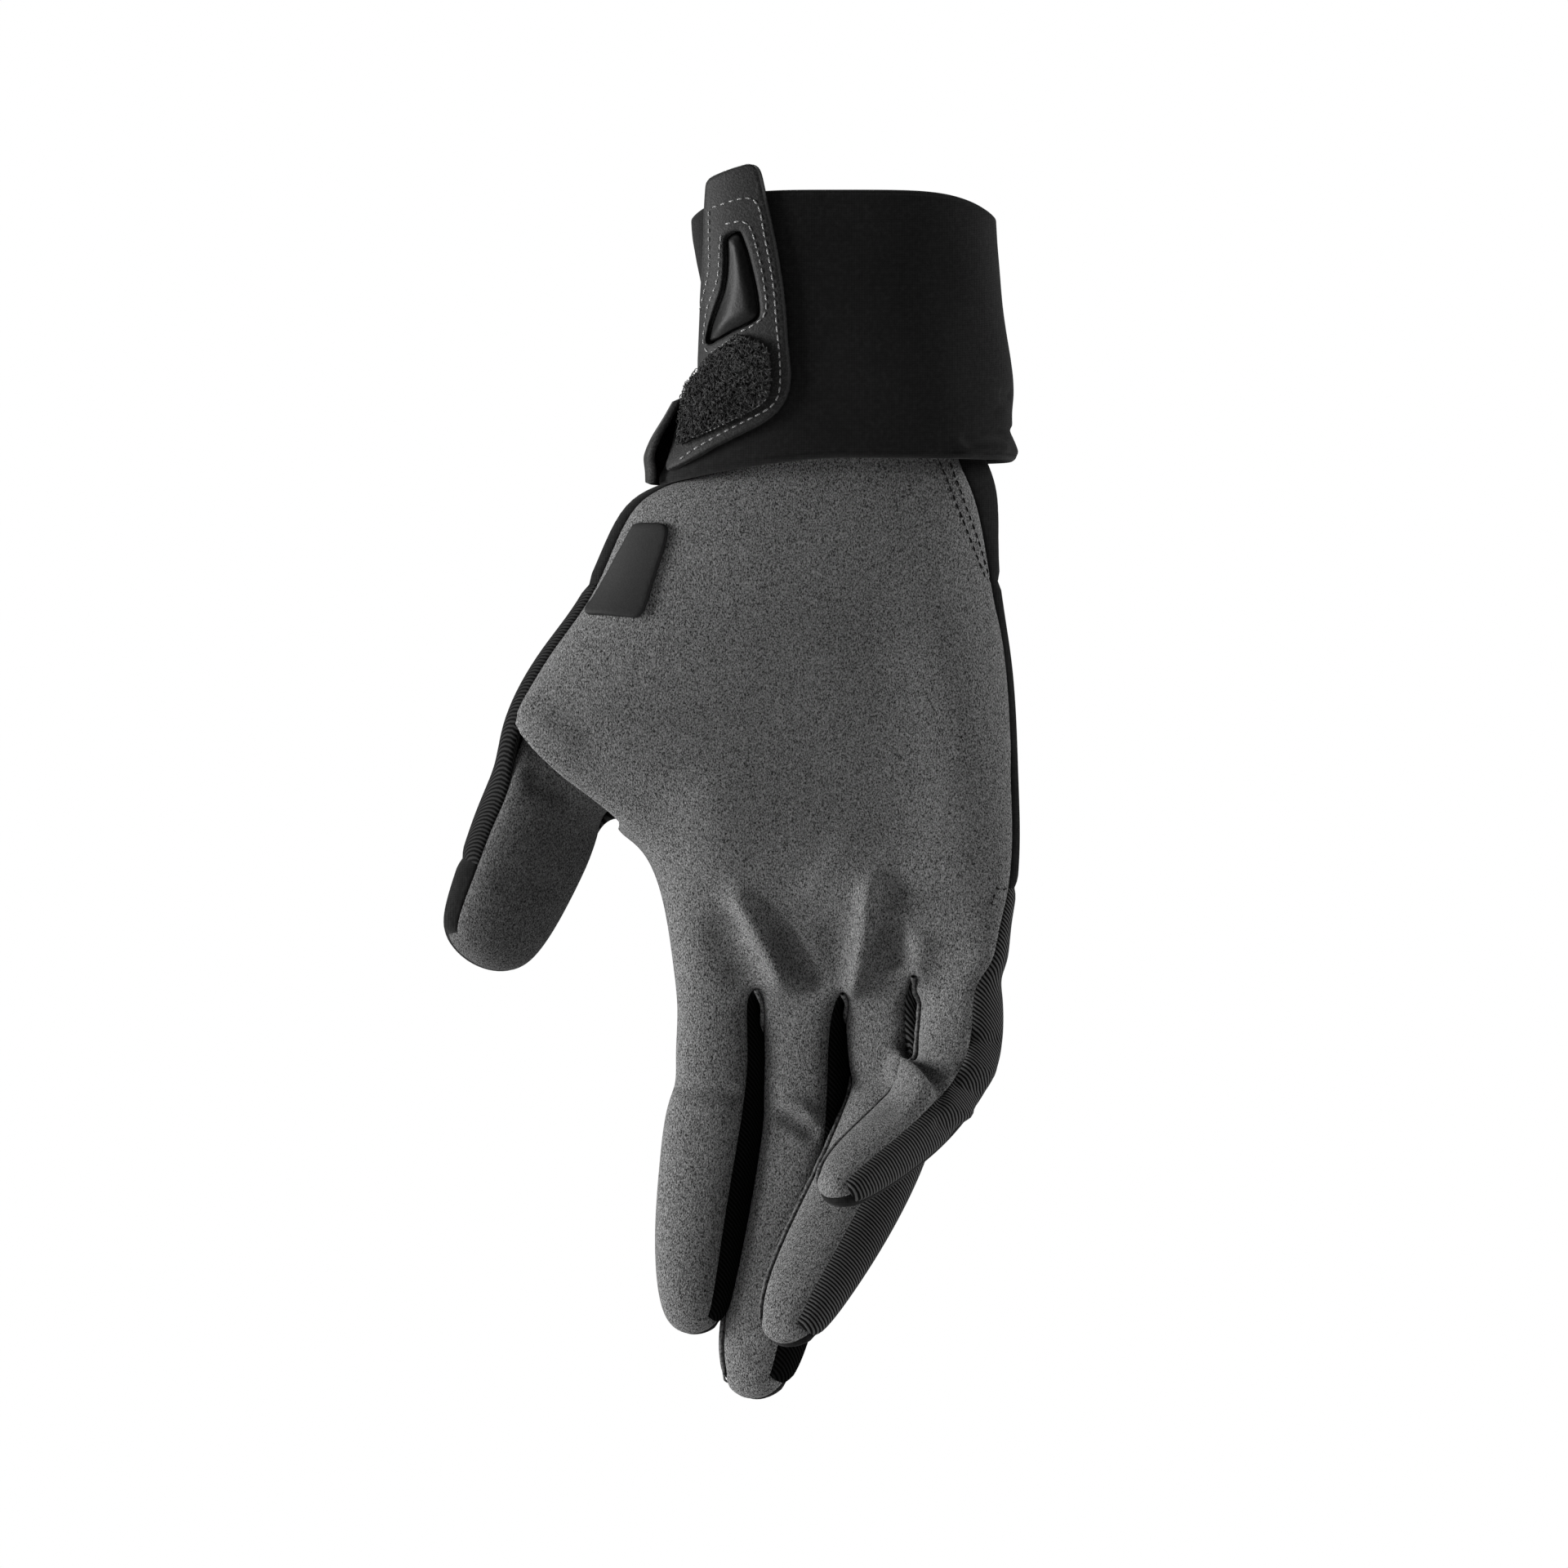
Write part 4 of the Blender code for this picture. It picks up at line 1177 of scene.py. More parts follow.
def shell_faces(faces: np.ndarray, count: int) -> list[tuple[int, ...]]:
    """The faces of a closed shell whose inner skin's points follow the outer skin's.

    Args:
        faces: the outer skin's faces.
        count: the number of the outer skin's points.

    Returns:
        The faces of both skins and of the rim between them.
    """
    rim = border_edges(faces)
    walls = np.stack([rim[:, 1], rim[:, 0], rim[:, 0] + count, rim[:, 1] + count], axis=1)
    return [tuple(face) for part in (faces, faces[:, ::-1] + count, walls) for face in part.tolist()]


@dataclass
class SewnPanels:
    """The hand's panels, each a shell of its own between its seams."""

    hand: Hand

    def build(self) -> None:
        """Builds each panel and puts it in its CAD node's place."""
        for index, panel in enumerate(PANELS):
            finish = PANEL_FINISH[panel]
            faces = self.hand.quads[self.hand.owners == index]
            points = self.hand.points.copy()
            points += self.hand.normals * self.lip(panel)[:, None]
            points = self.draw_back(points, faces)
            used, place = np.unique(faces, return_inverse=True)
            outer = points[used]
            inner = outer - self.hand.normals[used] * WALL
            skin = place.reshape(faces.shape)
            points = np.vstack([outer, inner])
            obj = add_mesh(f"{panel.value}_cloth", points, shell_faces(skin, len(used)), finish)
            place_piece(obj, finish, panel.value)

    def lip(self, panel: Panel) -> np.ndarray:
        """How far a panel stands out near the seam of palm and thumb: the palm over it, the thumb under.

        Args:
            panel: the panel.

        Returns:
            One lift a point, in millimetres.
        """
        lift = np.zeros(len(self.hand.points))
        if panel in (Panel.PALM, Panel.THUMB_FRONT):
            seam = self.hand.points[np.unique(self.hand.seam_between(Panel.PALM, Panel.THUMB_FRONT))]
            near = bell(distance_to_points(self.hand.points, seam), LIP_REACH)
            lift = LIP_RISE * near if panel is Panel.PALM else -LIP_SINK * near
        return lift

    def draw_back(self, points: np.ndarray, faces: np.ndarray) -> np.ndarray:
        """Moves the panel's border inwards by a hair, along the surface.

        Args:
            points: the points.
            faces: the panel's faces.

        Returns:
            The points, with the border moved.
        """
        rim = border_edges(faces)
        run = unit(points[rim[:, 1]] - points[rim[:, 0]])
        inward = np.zeros_like(points)
        for k in (0, 1):
            np.add.at(inward, rim[:, k], np.cross(self.hand.normals[rim[:, k]], run))
        moved = points.copy()
        corners = np.unique(rim)
        moved[corners] += unit(inward[corners]) * SEAM_GAP
        return moved


def tube(path: np.ndarray, radius: np.ndarray | float, sides: int = 8) -> tuple[np.ndarray, np.ndarray]:
    """The points and quads of a round cord along a path, open at its ends.

    Args:
        path: the cord's middle line.
        radius: its radius, or one for each point.
        sides: how many points go round it.

    Returns:
        The points and the quads.
    """
    run = unit(np.gradient(path, axis=0))
    first = unit(np.cross(run, (0.0, 1.0, 0.0)))
    second = np.cross(run, first)
    turn = np.linspace(0, 2 * np.pi, sides, endpoint=False)
    reach = np.broadcast_to(np.asarray(radius, float), (len(path),))
    ring = first[:, None] * np.cos(turn)[None, :, None] + second[:, None] * np.sin(turn)[None, :, None]
    points = path[:, None] + ring * reach[:, None, None]
    return points.reshape(-1, 3), grid_quads(len(path), sides, True)


def grid_quads(rows: int, columns: int, closed: bool) -> np.ndarray:
    """The quads of a grid of points, row by row, that may close on itself across.

    Args:
        rows: how many rows there are.
        columns: how many points a row has.
        closed: whether each row closes on itself.

    Returns:
        The quads.
    """
    i, j = np.meshgrid(np.arange(rows - 1), np.arange(columns if closed else columns - 1), indexing="ij")
    k = (j + 1) % columns
    quads = np.stack([i * columns + j, (i + 1) * columns + j, (i + 1) * columns + k, i * columns + k], axis=2)
    return quads.reshape(-1, 4)


@dataclass
class TurnedEdges:
    """The turned edges of black cloth that stand up like cords along the fingers' inner seams.

    Attributes:
        hand: the hand.
        radius: the edge's radius.
        offset: how far its middle line lies off the seam.
        step: the distance between two rings of its points.
        ripple: how much the sewing pinches it, as a share of its radius.
        ripples: how often it does so, in radians over its length.
    """

    hand: Hand
    radius: float = 0.5
    offset: float = 0.55
    step: float = 0.8
    ripple: float = 0.12
    ripples: float = 90.0

    def build(self) -> None:
        """Lays one cord from each crotch to the tip of the finger on its far side."""
        walls = {"middle": Panel.WALL_INDEX, "ring": Panel.WALL_MIDDLE, "little": Panel.WALL_RING}
        for name, wall in walls.items():
            chain = self.hand.chain(Panel.PALM, wall)
            points = self.hand.points[chain] + self.hand.normals[chain] * self.offset
            crotch = points[:, 2].argmax()
            if points[crotch - 4, 0] > points[crotch + 4, 0]:
                points, crotch = points[::-1], len(points) - 1 - crotch
            points = points[crotch:]
            path = resample(points[::3], self.step)
            share = np.linspace(0, 1, len(path))
            taper = 1 - 0.5 * smooth((share - 0.9) / 0.1)
            radius = self.radius * taper * (1 + self.ripple * np.sin(share * self.ripples))
            cord, quads = tube(path, radius)
            obj = add_mesh(f"turned_edge_{name}", cord, quads, CORD_CLOTH_AND_HIGHLIGHT)
            place_piece(obj, CORD_CLOTH_AND_HIGHLIGHT)


# The cuff


@dataclass(frozen=True)
class CuffRow:
    """A section of the cuff: how far below the mouth, the x of its two sides, and its depth, as shares."""

    down: float
    radial: float
    ulnar: float
    depth: float


CUFF_ROWS = (
    CuffRow(-0.14, -0.514, 0.497, 0.95),
    CuffRow(0.10, -0.510, 0.506, 0.98),
    CuffRow(0.22, -0.497, 0.512, 1.00),
    CuffRow(0.40, -0.470, 0.527, 1.02),
    CuffRow(0.62, -0.472, 0.557, 1.02),
    CuffRow(0.75, -0.500, 0.563, 1.01),
    CuffRow(0.88, -0.540, 0.550, 1.00),
    CuffRow(0.96, -0.572, 0.573, 1.03),
    CuffRow(1.03, -0.600, 0.566, 1.02),
    CuffRow(1.20, -0.640, 0.560, 1.00),
)
CUFF_POWER = 2.5
MOUTH_DIP, MOUTH_POWER = 0.085, 5.0
HEM_RADIAL, HEM_MIDDLE, HEM_ULNAR = 1.085, 0.990, 0.992
HEM_POWER = 1.6
HEM_ROLL = 1.3
SIDE_LIMIT = 0.992

CUFF_FOLDS = (
    Fold(((1172, 552), (1192, 540), (1215, 534), (1240, 533)), 1.6, -1.6),
    Fold(((1165, 562), (1200, 549), (1240, 550)), 2.2, 1.3),
    Fold(((1222, 486), (1240, 487)), 1.3, -0.8),
    Fold(((1222, 500), (1230, 515), (1236, 528)), 2.0, 0.6),
    Fold(((960, 260), (1040, 300), (1120, 330), (1200, 330)), 8.0, -0.5),
    Fold(((1010, 430), (1090, 470), (1190, 470)), 9.0, 0.5),
)


def signed_power(value: np.ndarray, power: float) -> np.ndarray:
    """A power of a value's size, with its sign kept."""
    return np.sign(value) * np.abs(value) ** power


class CuffForm:
    """The cuff's outer surface: a rounded section whose sides and depth change down its length."""

    def section(self, z: np.ndarray) -> tuple[np.ndarray, np.ndarray, np.ndarray]:
        """The x of both sides and the half depth at each height, on a smooth curve through the rows.

        Args:
            z: the heights.

        Returns:
            The x of the thumb side, that of the other side, and the half depth.
        """
        down = -z / CUFF_LENGTH
        rows = np.array([(r.down, r.radial, r.ulnar, r.depth) for r in CUFF_ROWS])
        fine = resample(rows, 0.01)
        radial, ulnar, depth = (np.interp(down, fine[:, 0], fine[:, k]) for k in (1, 2, 3))
        return radial * CUFF_WIDTH, ulnar * CUFF_WIDTH, depth * CUFF_DEPTH / 2

    def at(self, angle: np.ndarray, z: np.ndarray, lift: np.ndarray | float) -> np.ndarray:
        """Points at an angle round the cuff and a height, lifted off it.

        Args:
            angle: the angles.
            z: the heights.
            lift: how far off the cuff the points lie.

        Returns:
            The points.
        """
        radial, ulnar, half_depth = self.section(z)
        out = signed_power(np.cos(angle), 2 / CUFF_POWER)
        back = signed_power(np.sin(angle), 2 / CUFF_POWER)
        x = (radial + ulnar) / 2 + out * ((ulnar - radial) / 2 + lift)
        return np.stack([x, back * (half_depth + lift), z], axis=-1)

    def front_angle(self, x: np.ndarray, z: np.ndarray, lift: np.ndarray | float) -> np.ndarray:
        """The angle at which the cuff's front, lifted off it, has that x.

        Args:
            x: the x of the points.
            z: their heights.
            lift: how far off the cuff they lie.

        Returns:
            The angles.
        """
        radial, ulnar, _ = self.section(z)
        out = (x - (radial + ulnar) / 2) / ((ulnar - radial) / 2 + lift)
        return 2 * np.pi - np.arccos(signed_power(np.clip(out, -SIDE_LIMIT, SIDE_LIMIT), CUFF_POWER / 2))

    def over(self, plane: np.ndarray, low: float, high: np.ndarray | float) -> tuple[np.ndarray, np.ndarray]:
        """Points over the cuff's front at two heights above it, one straight out from the other."""
        angle = self.front_angle(plane[:, 0], plane[:, 1], high)
        return self.at(angle, plane[:, 1], low), self.at(angle, plane[:, 1], high)


@dataclass
class Cuff:
    """The knit cuff: one closed profile from mouth to rolled hem and back inside, swept round.

    Attributes:
        form: the cuff's outer surface.
        around: how many points go round it.
        down: how many rows of points its outer skin has.
    """

    form: CuffForm
    around: int = 220
    down: int = 110

    def build(self) -> None:
        """Builds the cuff in its CAD node's place."""
        level, inset, rise = self.profile()
        angle = np.pi + np.linspace(0, 2 * np.pi, self.around, endpoint=False)
        angles, levels = np.meshgrid(angle, level)
        out = signed_power(np.cos(angles), 2 / CUFF_POWER)
        z = self.edge((1 + out) / 2, levels) + rise[:, None]
        swell = self.swell(angles, levels)
        points = self.form.at(angles, z, swell - inset[:, None]).reshape(-1, 3)
        quads = grid_quads(len(level), self.around, True)
        last = (len(level) - 1) * self.around
        columns = np.arange(self.around)
        onward = (columns + 1) % self.around
        closing = np.stack([last + columns, columns, onward, last + onward], axis=1)
        points = self.creased(points, np.repeat(inset < CUFF_WALL / 2, self.around))
        obj = add_mesh("cuff_cloth", points, np.vstack([quads, closing]), CUFF_KNIT)
        place_piece(obj, CUFF_KNIT, "cuff")

    def profile(self) -> tuple[np.ndarray, np.ndarray, np.ndarray]:
        """The closed profile: each point's level from mouth to hem, its inset and its rise.

        Returns:
            The level, the inset and the rise of each point.
        """
        turn = np.linspace(0, np.pi, 12)
        down = np.linspace(0, 1, self.down)
        half = CUFF_WALL / 2
        level = np.concatenate([down, np.ones(12), down[::-3], np.zeros(12)])
        inset = np.concatenate(
            [
                np.zeros(self.down),
                HEM_ROLL * (1 - np.cos(turn)),
                CUFF_WALL + (2 * HEM_ROLL - CUFF_WALL) * down[::-3] ** 12,
                half * (1 + np.cos(turn)),
            ]
        )
        rise = np.concatenate(
            [np.zeros(self.down), -HEM_ROLL * np.sin(turn), np.zeros(len(down[::-3])), half * np.sin(turn)]
        )
        return level, inset, rise

    @staticmethod
    def edge(across: np.ndarray, level: np.ndarray) -> np.ndarray:
        """The height of a level at a share across the cuff; the mouth dips at both sides.

        Args:
            across: the shares across the cuff.
            level: the levels, 0 at the mouth and 1 at the hem.

        Returns:
            The heights in millimetres.
        """
        mouth = -MOUTH_DIP * np.abs(2 * across - 1) ** MOUTH_POWER
        radial = HEM_MIDDLE + (HEM_RADIAL - HEM_MIDDLE) * np.clip(1 - 2 * across, 0, 1) ** HEM_POWER
        ulnar = HEM_MIDDLE + (HEM_ULNAR - HEM_MIDDLE) * (2 * across - 1)
        hem = np.where(across < 0.5, radial, ulnar)
        return (mouth * (1 - level) - hem * level) * CUFF_LENGTH

    @staticmethod
    def swell(angles: np.ndarray, levels: np.ndarray) -> np.ndarray:
        """Slow waves round the cloth, and the hem's roll."""
        waves = 0.16 * np.sin(3 * angles + 9 * levels) + 0.10 * np.sin(7 * angles - 6 * levels + 1.3)
        return waves * np.sin(np.pi * levels) + 0.35 * bell(levels - 0.985, 0.02)

    @staticmethod
    def creased(points: np.ndarray, outer: np.ndarray) -> np.ndarray:
        """Presses the cuff's folds into the front of its outer skin.

        Args:
            points: the points.
            outer: which of them are on the outer skin.

        Returns:
            The points, creased.
        """
        front = outer & (points[:, 1] < 2.0)
        lift = np.zeros(len(points))
        for fold in CUFF_FOLDS:
            lift[front] += fold.lift(points[front][:, [0, 2]])
        outward = unit(points * (1.0, 1.6, 0.0))
        return points + outward * lift[:, None]


# Plates cut to an outline and laid over what carries them


def inside(points: np.ndarray, outline: np.ndarray) -> np.ndarray:
    """Which points lie inside a closed outline: a ray from each crosses it an odd number of times.

    Args:
        points: the points.
        outline: the outline.

    Returns:
        True for each point inside.
    """
    x, z = points[:, :1], points[:, 1:]
    ax, az = outline.T
    bx, bz = np.roll(outline, -1, axis=0).T
    spans = (az > z) != (bz > z)
    cross = ax + (z - az) / np.where(bz == az, 1e-12, bz - az) * (bx - ax)
    return (spans & (x < cross)).sum(1) % 2 == 1


def inset_outline(outline: np.ndarray, distance: float) -> np.ndarray:
    """A closed outline moved inwards, to the left of the way it runs, by a distance."""
    run = unit(np.roll(outline, -1, axis=0) - np.roll(outline, 1, axis=0))
    return outline + np.stack([-run[:, 1], run[:, 0]], axis=1) * distance


def counter_clockwise(outline: np.ndarray) -> np.ndarray:
    """The outline, turned if needed to run with its inside on the left.

    Args:
        outline: the outline.

    Returns:
        The outline, turned or not.
    """
    x, z = outline.T
    area = (x * np.roll(z, -1) - np.roll(x, -1) * z).sum()
    return outline if area > 0 else outline[::-1]


Drape = Callable[[np.ndarray, float, np.ndarray], tuple[np.ndarray, np.ndarray]]


@dataclass
class Plate:
    """A thin piece cut to an outline, laid over a surface, with rounded edges.

    Attributes:
        name: the piece's name, which is also its CAD node's.
        outline: its outline in pixels.
        finish: its finish.
        drape: gives points over the carrier at a low and a high distance from it.
        lift: the distance of its inner face.
        wall: its thickness.
        holes: outlines of holes, in pixels.
        rounding: how far in from an edge the face is rounded.
        crown: how much higher the face is away from its edges, and over what distance.
        step: the distance between the points inside it.
    """

    name: str
    outline: Path
    finish: Finish
    drape: Drape
    lift: float
    wall: float
    holes: tuple[Path, ...] = ()
    rounding: float = 0.6
    crown: tuple[float, float] = (0.0, 1.0)
    step: float = 0.9

    def borders(self) -> list[np.ndarray]:
        """The outline and the holes, as closed curves with the plate on their left.

        Returns:
            The outline first, then the holes.
        """
        outer = counter_clockwise(resample(from_photo(self.outline), self.step * 0.7, True))
        return [outer] + [
            counter_clockwise(resample(from_photo(hole), self.step * 0.7, True))[::-1] for hole in self.holes
        ]

    def build(self) -> bpy.types.Object:
        """Builds the plate in its CAD node's place."""
        borders = self.borders()
        plane, faces = self.fill(borders)
        closed = [np.vstack([border, border[:1]]) for border in borders]
        distance = np.min([to_path(plane, border)[0] for border in closed], axis=0)
        share = 1 - np.clip(distance / self.rounding, 0, 1)
        edge = 0.35 + 0.65 * np.sqrt(1 - share**2)
        height = self.wall * edge + self.crown[0] * smooth(distance / self.crown[1])
        low, high = self.drape(plane, self.lift, self.lift + height)
        shell = shell_faces(faces, len(plane))
        obj = add_mesh(f"{self.name}_plate", np.vstack([high, low]), shell, self.finish)
        place_piece(obj, self.finish, self.name)
        return obj

    def fill(self, borders: list[np.ndarray]) -> tuple[np.ndarray, np.ndarray]:
        """Fills the borders with triangles; rows of points follow each border, and a grid the rest.

        Args:
            borders: the outline and the holes.

        Returns:
            The points and the triangles.
        """
        rows = [inset_outline(b, self.rounding * share) for b in borders for share in (0.18, 0.5, 1.0)]
        low, high = borders[0].min(0), borders[0].max(0)
        grid = np.stack(np.meshgrid(*(np.arange(a, b, self.step) for a, b in zip(low, high))), axis=-1)
        grid = grid.reshape(-1, 2)
        closed = [np.vstack([border, border[:1]]) for border in borders]
        away = np.min([to_path(grid, border)[0] for border in closed], axis=0)
        grid = grid[(away > self.rounding + 0.4 * self.step) & self.on_plate(grid, borders)]
        extra = np.vstack(rows)
        extra = extra[self.on_plate(extra, borders)]
        points = np.vstack([*borders, extra, grid])
        edges, first = [], 0
        for border in borders:
            places = first + np.arange(len(border))
            edges += np.stack([places, np.roll(places, -1)], axis=1).tolist()
            first += len(border)
        made = delaunay_2d_cdt([Vector(p) for p in points], edges, [], 0, 1e-5)
        plane = np.array([p[:] for p in made[0]])
        faces = np.array([f for f in made[2] if len(f) == 3])
        keep = self.on_plate(plane[faces].mean(1), borders)
        used, place = np.unique(faces[keep], return_inverse=True)
        return plane[used], place.reshape(-1, 3)

    @staticmethod
    def on_plate(points: np.ndarray, borders: list[np.ndarray]) -> np.ndarray:
        """Which points lie inside the outline and outside the holes.

        Args:
            points: the points.
            borders: the outline and the holes.

        Returns:
            True for each such point.
        """
        mask = inside(points, borders[0])
        for hole in borders[1:]:
            mask &= ~inside(points, hole)
        return mask


STRAP_OUTLINE = (
    (864, 236), (866, 228), (872, 222), (890, 215), (907, 210), (917, 208), (925, 211), (930, 219),
    (934, 235), (939, 258), (945, 286), (951, 316), (955, 340), (958, 360), (961, 390), (963, 420),
    (966, 450), (967, 468), (963, 490), (955, 504), (946, 514), (930, 525), (912, 534), (895, 542),
    (876, 551), (856, 562), (836, 572), (826, 576), (818, 578), (816, 570), (820, 556), (824, 540),
    (828, 520), (833, 500), (838, 480), (845, 467), (853, 458), (854, 440), (855, 415), (856, 392),
    (857, 370), (859, 340), (861, 305), (862, 270),
)
WINDOW = (
    (888, 300), (892, 294), (900, 290), (907, 290), (911, 298), (917, 315), (922, 334), (927, 356),
    (930, 374), (931, 388), (928, 397), (917, 404), (898, 412), (880, 421), (870, 425), (866, 421),
    (868, 408), (872, 394), (878, 377), (884, 360), (887, 342), (888, 320),
)
INSERT_OUTLINE = (
    (890, 302), (893, 297), (900, 293), (906, 294), (909, 301), (915, 318), (919, 335), (924, 357),
    (927, 375), (928, 387), (926, 394), (916, 401), (897, 409), (880, 418), (871, 421), (869, 419),
    (871, 408), (875, 395), (881, 379), (887, 361), (890, 342), (891, 320),
)
PATCH_OUTLINE = (
    (871, 439), (890, 426), (906, 416), (912, 418), (926, 424), (936, 430), (941, 440), (943, 460),
    (942, 480), (938, 492), (925, 505), (900, 517), (870, 531), (845, 542), (832, 546), (831, 530),
    (834, 505), (838, 480), (845, 466), (856, 456),
)
TAG_OUTLINE = (
    (782, 644), (800, 643), (813, 644), (819, 649), (819, 660), (813, 682), (803, 712), (793, 744),
    (788, 753), (781, 758), (765, 757), (742, 755), (720, 752), (732, 730), (748, 702), (762, 676),
    (775, 652),
)


@dataclass
class Stitches:
    """A row of stitches: small capsules end to end along a line, each dipping into the cloth at its ends.

    Attributes:
        name: the piece's name.
        lines: the rows' lines, in pixels.
        finish: the thread's finish.
        place: gives the points and normals that the rows lie on, from x and z.
        length: a stitch's length.
        gap: the space between two stitches.
        radius: the thread's radius.
        raised: how far its middle line lies off the cloth.
    """

    name: str
    lines: tuple[Path, ...]
    finish: Finish
    place: Callable[[np.ndarray], tuple[np.ndarray, np.ndarray]]
    length: float = 1.5
    gap: float = 0.45
    radius: float = 0.20
    raised: float = 0.10

    def build(self) -> None:
        """Builds all the rows as one mesh."""
        template, quads = self.capsule()
        middles, runs = [], []
        for line in self.lines:
            path = resample(from_photo(line), self.length + self.gap)
            middles.append((path[:-1] + path[1:]) / 2)
            runs.append(np.diff(path, axis=0))
        plane, run = np.vstack(middles), unit(np.vstack(runs))
        centre, normal = self.place(plane)
        ahead, _ = self.place(plane + run * self.length / 2)
        behind, _ = self.place(plane - run * self.length / 2)
        along = unit(ahead - behind)
        side = unit(np.cross(normal, along))
        up = np.cross(along, side)
        frames = np.stack([along, side, up], axis=1)
        points = centre[:, None] + up[:, None] * self.raised + np.einsum("pk,nkc->npc", template, frames)
        offsets = np.arange(len(plane))[:, None, None] * len(template)
        obj = add_mesh(self.name, points.reshape(-1, 3), (quads[None] + offsets).reshape(-1, 4), self.finish)
        place_piece(obj, self.finish)

    def capsule(self) -> tuple[np.ndarray, np.ndarray]:
        """One stitch along its own first axis, bowed up in the middle.

        Returns:
            The points and the quads.
        """
        sides, rings = 6, 7
        t = np.linspace(-1, 1, rings)
        radius = self.radius * np.sqrt(np.maximum(1 - np.abs(t) ** 4, 0.02))
        turn = np.linspace(0, 2 * np.pi, sides, endpoint=False)
        x = np.repeat(t * self.length / 2, sides)
        y = (radius[:, None] * np.cos(turn)).ravel()
        z = (radius[:, None] * np.sin(turn)).ravel() + np.repeat(-0.6 * self.radius * t**2, sides)
        return np.stack([x, y, z], axis=1), grid_quads(rings, sides, True)


STRAP_OUTER_ROW = (
    ((869, 262), (869, 300), (869, 333), (864, 358), (857, 386)),
    ((871, 261), (890, 255), (910, 250), (924, 252), (931, 266), (936, 294), (943, 330),
     (948, 364), (951, 403),
     (955, 447), (955, 480), (951, 495), (941, 506), (920, 517), (892, 531), (864, 546),
     (847, 556), (832, 567)),
)
STRAP_INNER_ROW = (
    ((887, 281), (900, 279), (913, 278), (921, 290), (928, 315), (934, 341), (938, 370),
     (939, 384), (934, 396),
     (920, 406), (906, 412)),
    ((884, 292), (882, 312), (881, 335), (877, 356), (868, 377), (864, 400), (862, 425), (868, 436)),
)
PATCH_ROW = (
    ((870, 437), (888, 426), (907, 414)),
    ((872, 441), (890, 430), (908, 418)),
    ((836, 543), (864, 534), (895, 520), (925, 505), (939, 494)),
)
GUSSET_ROWS = (
    ((1148, 566), (1158, 590), (1167, 613), (1177, 637), (1186, 660), (1196, 685), (1206, 709)),
    ((1161, 568), (1172, 596), (1182, 624), (1190, 645), (1197, 664), (1206, 694), (1213, 716)),
)
CROTCH_ROW = (((772, 1000), (784, 1014), (794, 1030), (801, 1044)),)
ULNAR_ROW = (((1216, 1084), (1224, 1090), (1232, 1086)), ((1217, 1092), (1214, 1100), (1211, 1108)))


@dataclass
class Pile:
    """The patch's yarn: small upright arches of thread planted at random over the patch.

    Attributes:
        place: gives the points and normals that the loops stand on, from x and z.
        count: how many loops there are.
        seed: the seed of their places, turns and sizes.
        sizes: the smallest and the largest radius of an arch.
        thread: the yarn's radius.
        tilt: how far an arch leans over, as a share of its height.
        overrun: how far an arch runs on past a half circle at each end, in radians.
        rings: the rings of points along an arch.
        sides: the points of a ring.
    """

    place: Callable[[np.ndarray], tuple[np.ndarray, np.ndarray]]
    count: int = 2600
    seed: int = 7
    sizes: tuple[float, float] = (0.35, 0.75)
    thread: float = 0.10
    tilt: float = 0.5
    overrun: float = 0.2
    rings: int = 7
    sides: int = 4

    def build(self) -> None:
        """Builds all the loops as one mesh: an arch is cos t along it and sin t up, a ring swept along it."""
        outline = resample(from_photo(PATCH_OUTLINE), 1.0, True)
        chance = np.random.default_rng(self.seed)
        plane = chance.uniform(outline.min(0), outline.max(0), (self.count * 2, 2))
        plane = plane[inside(plane, outline)][: self.count]
        base, normal = self.place(plane)
        turn = chance.uniform(0, 2 * np.pi, len(plane))
        side = unit(np.cross(normal, (0.0, 0.0, 1.0)))
        other = np.cross(normal, side)
        along = side * np.cos(turn)[:, None] + other * np.sin(turn)[:, None]
        lean = side * chance.normal(size=(len(plane), 1)) + other * chance.normal(size=(len(plane), 1))
        upward = unit(normal + self.tilt * lean)
        size = chance.uniform(*self.sizes, len(plane))
        bend = np.linspace(-self.overrun, np.pi + self.overrun, self.rings)
        out, up = np.cos(bend)[None, :, None], np.sin(bend)[None, :, None]
        arc = (along[:, None] * out + upward[:, None] * up) * size[:, None, None] + base[:, None]
        run = unit(np.gradient(arc, axis=1))
        first = unit(np.cross(run, np.cross(along, upward)[:, None]))
        second = np.cross(run, first)
        ring = np.linspace(0, 2 * np.pi, self.sides, endpoint=False)
        out, up = np.cos(ring)[None, None, :, None], np.sin(ring)[None, None, :, None]
        points = arc[:, :, None] + self.thread * (first[:, :, None] * out + second[:, :, None] * up)
        firsts = np.arange(len(plane))[:, None, None] * self.rings * self.sides
        quads = grid_quads(self.rings, self.sides, True)[None] + firsts
        obj = add_mesh("pile_loops", points.reshape(-1, 3), quads.reshape(-1, 4), PILE_AND_GLINTS)
        place_piece(obj, PILE_AND_GLINTS)


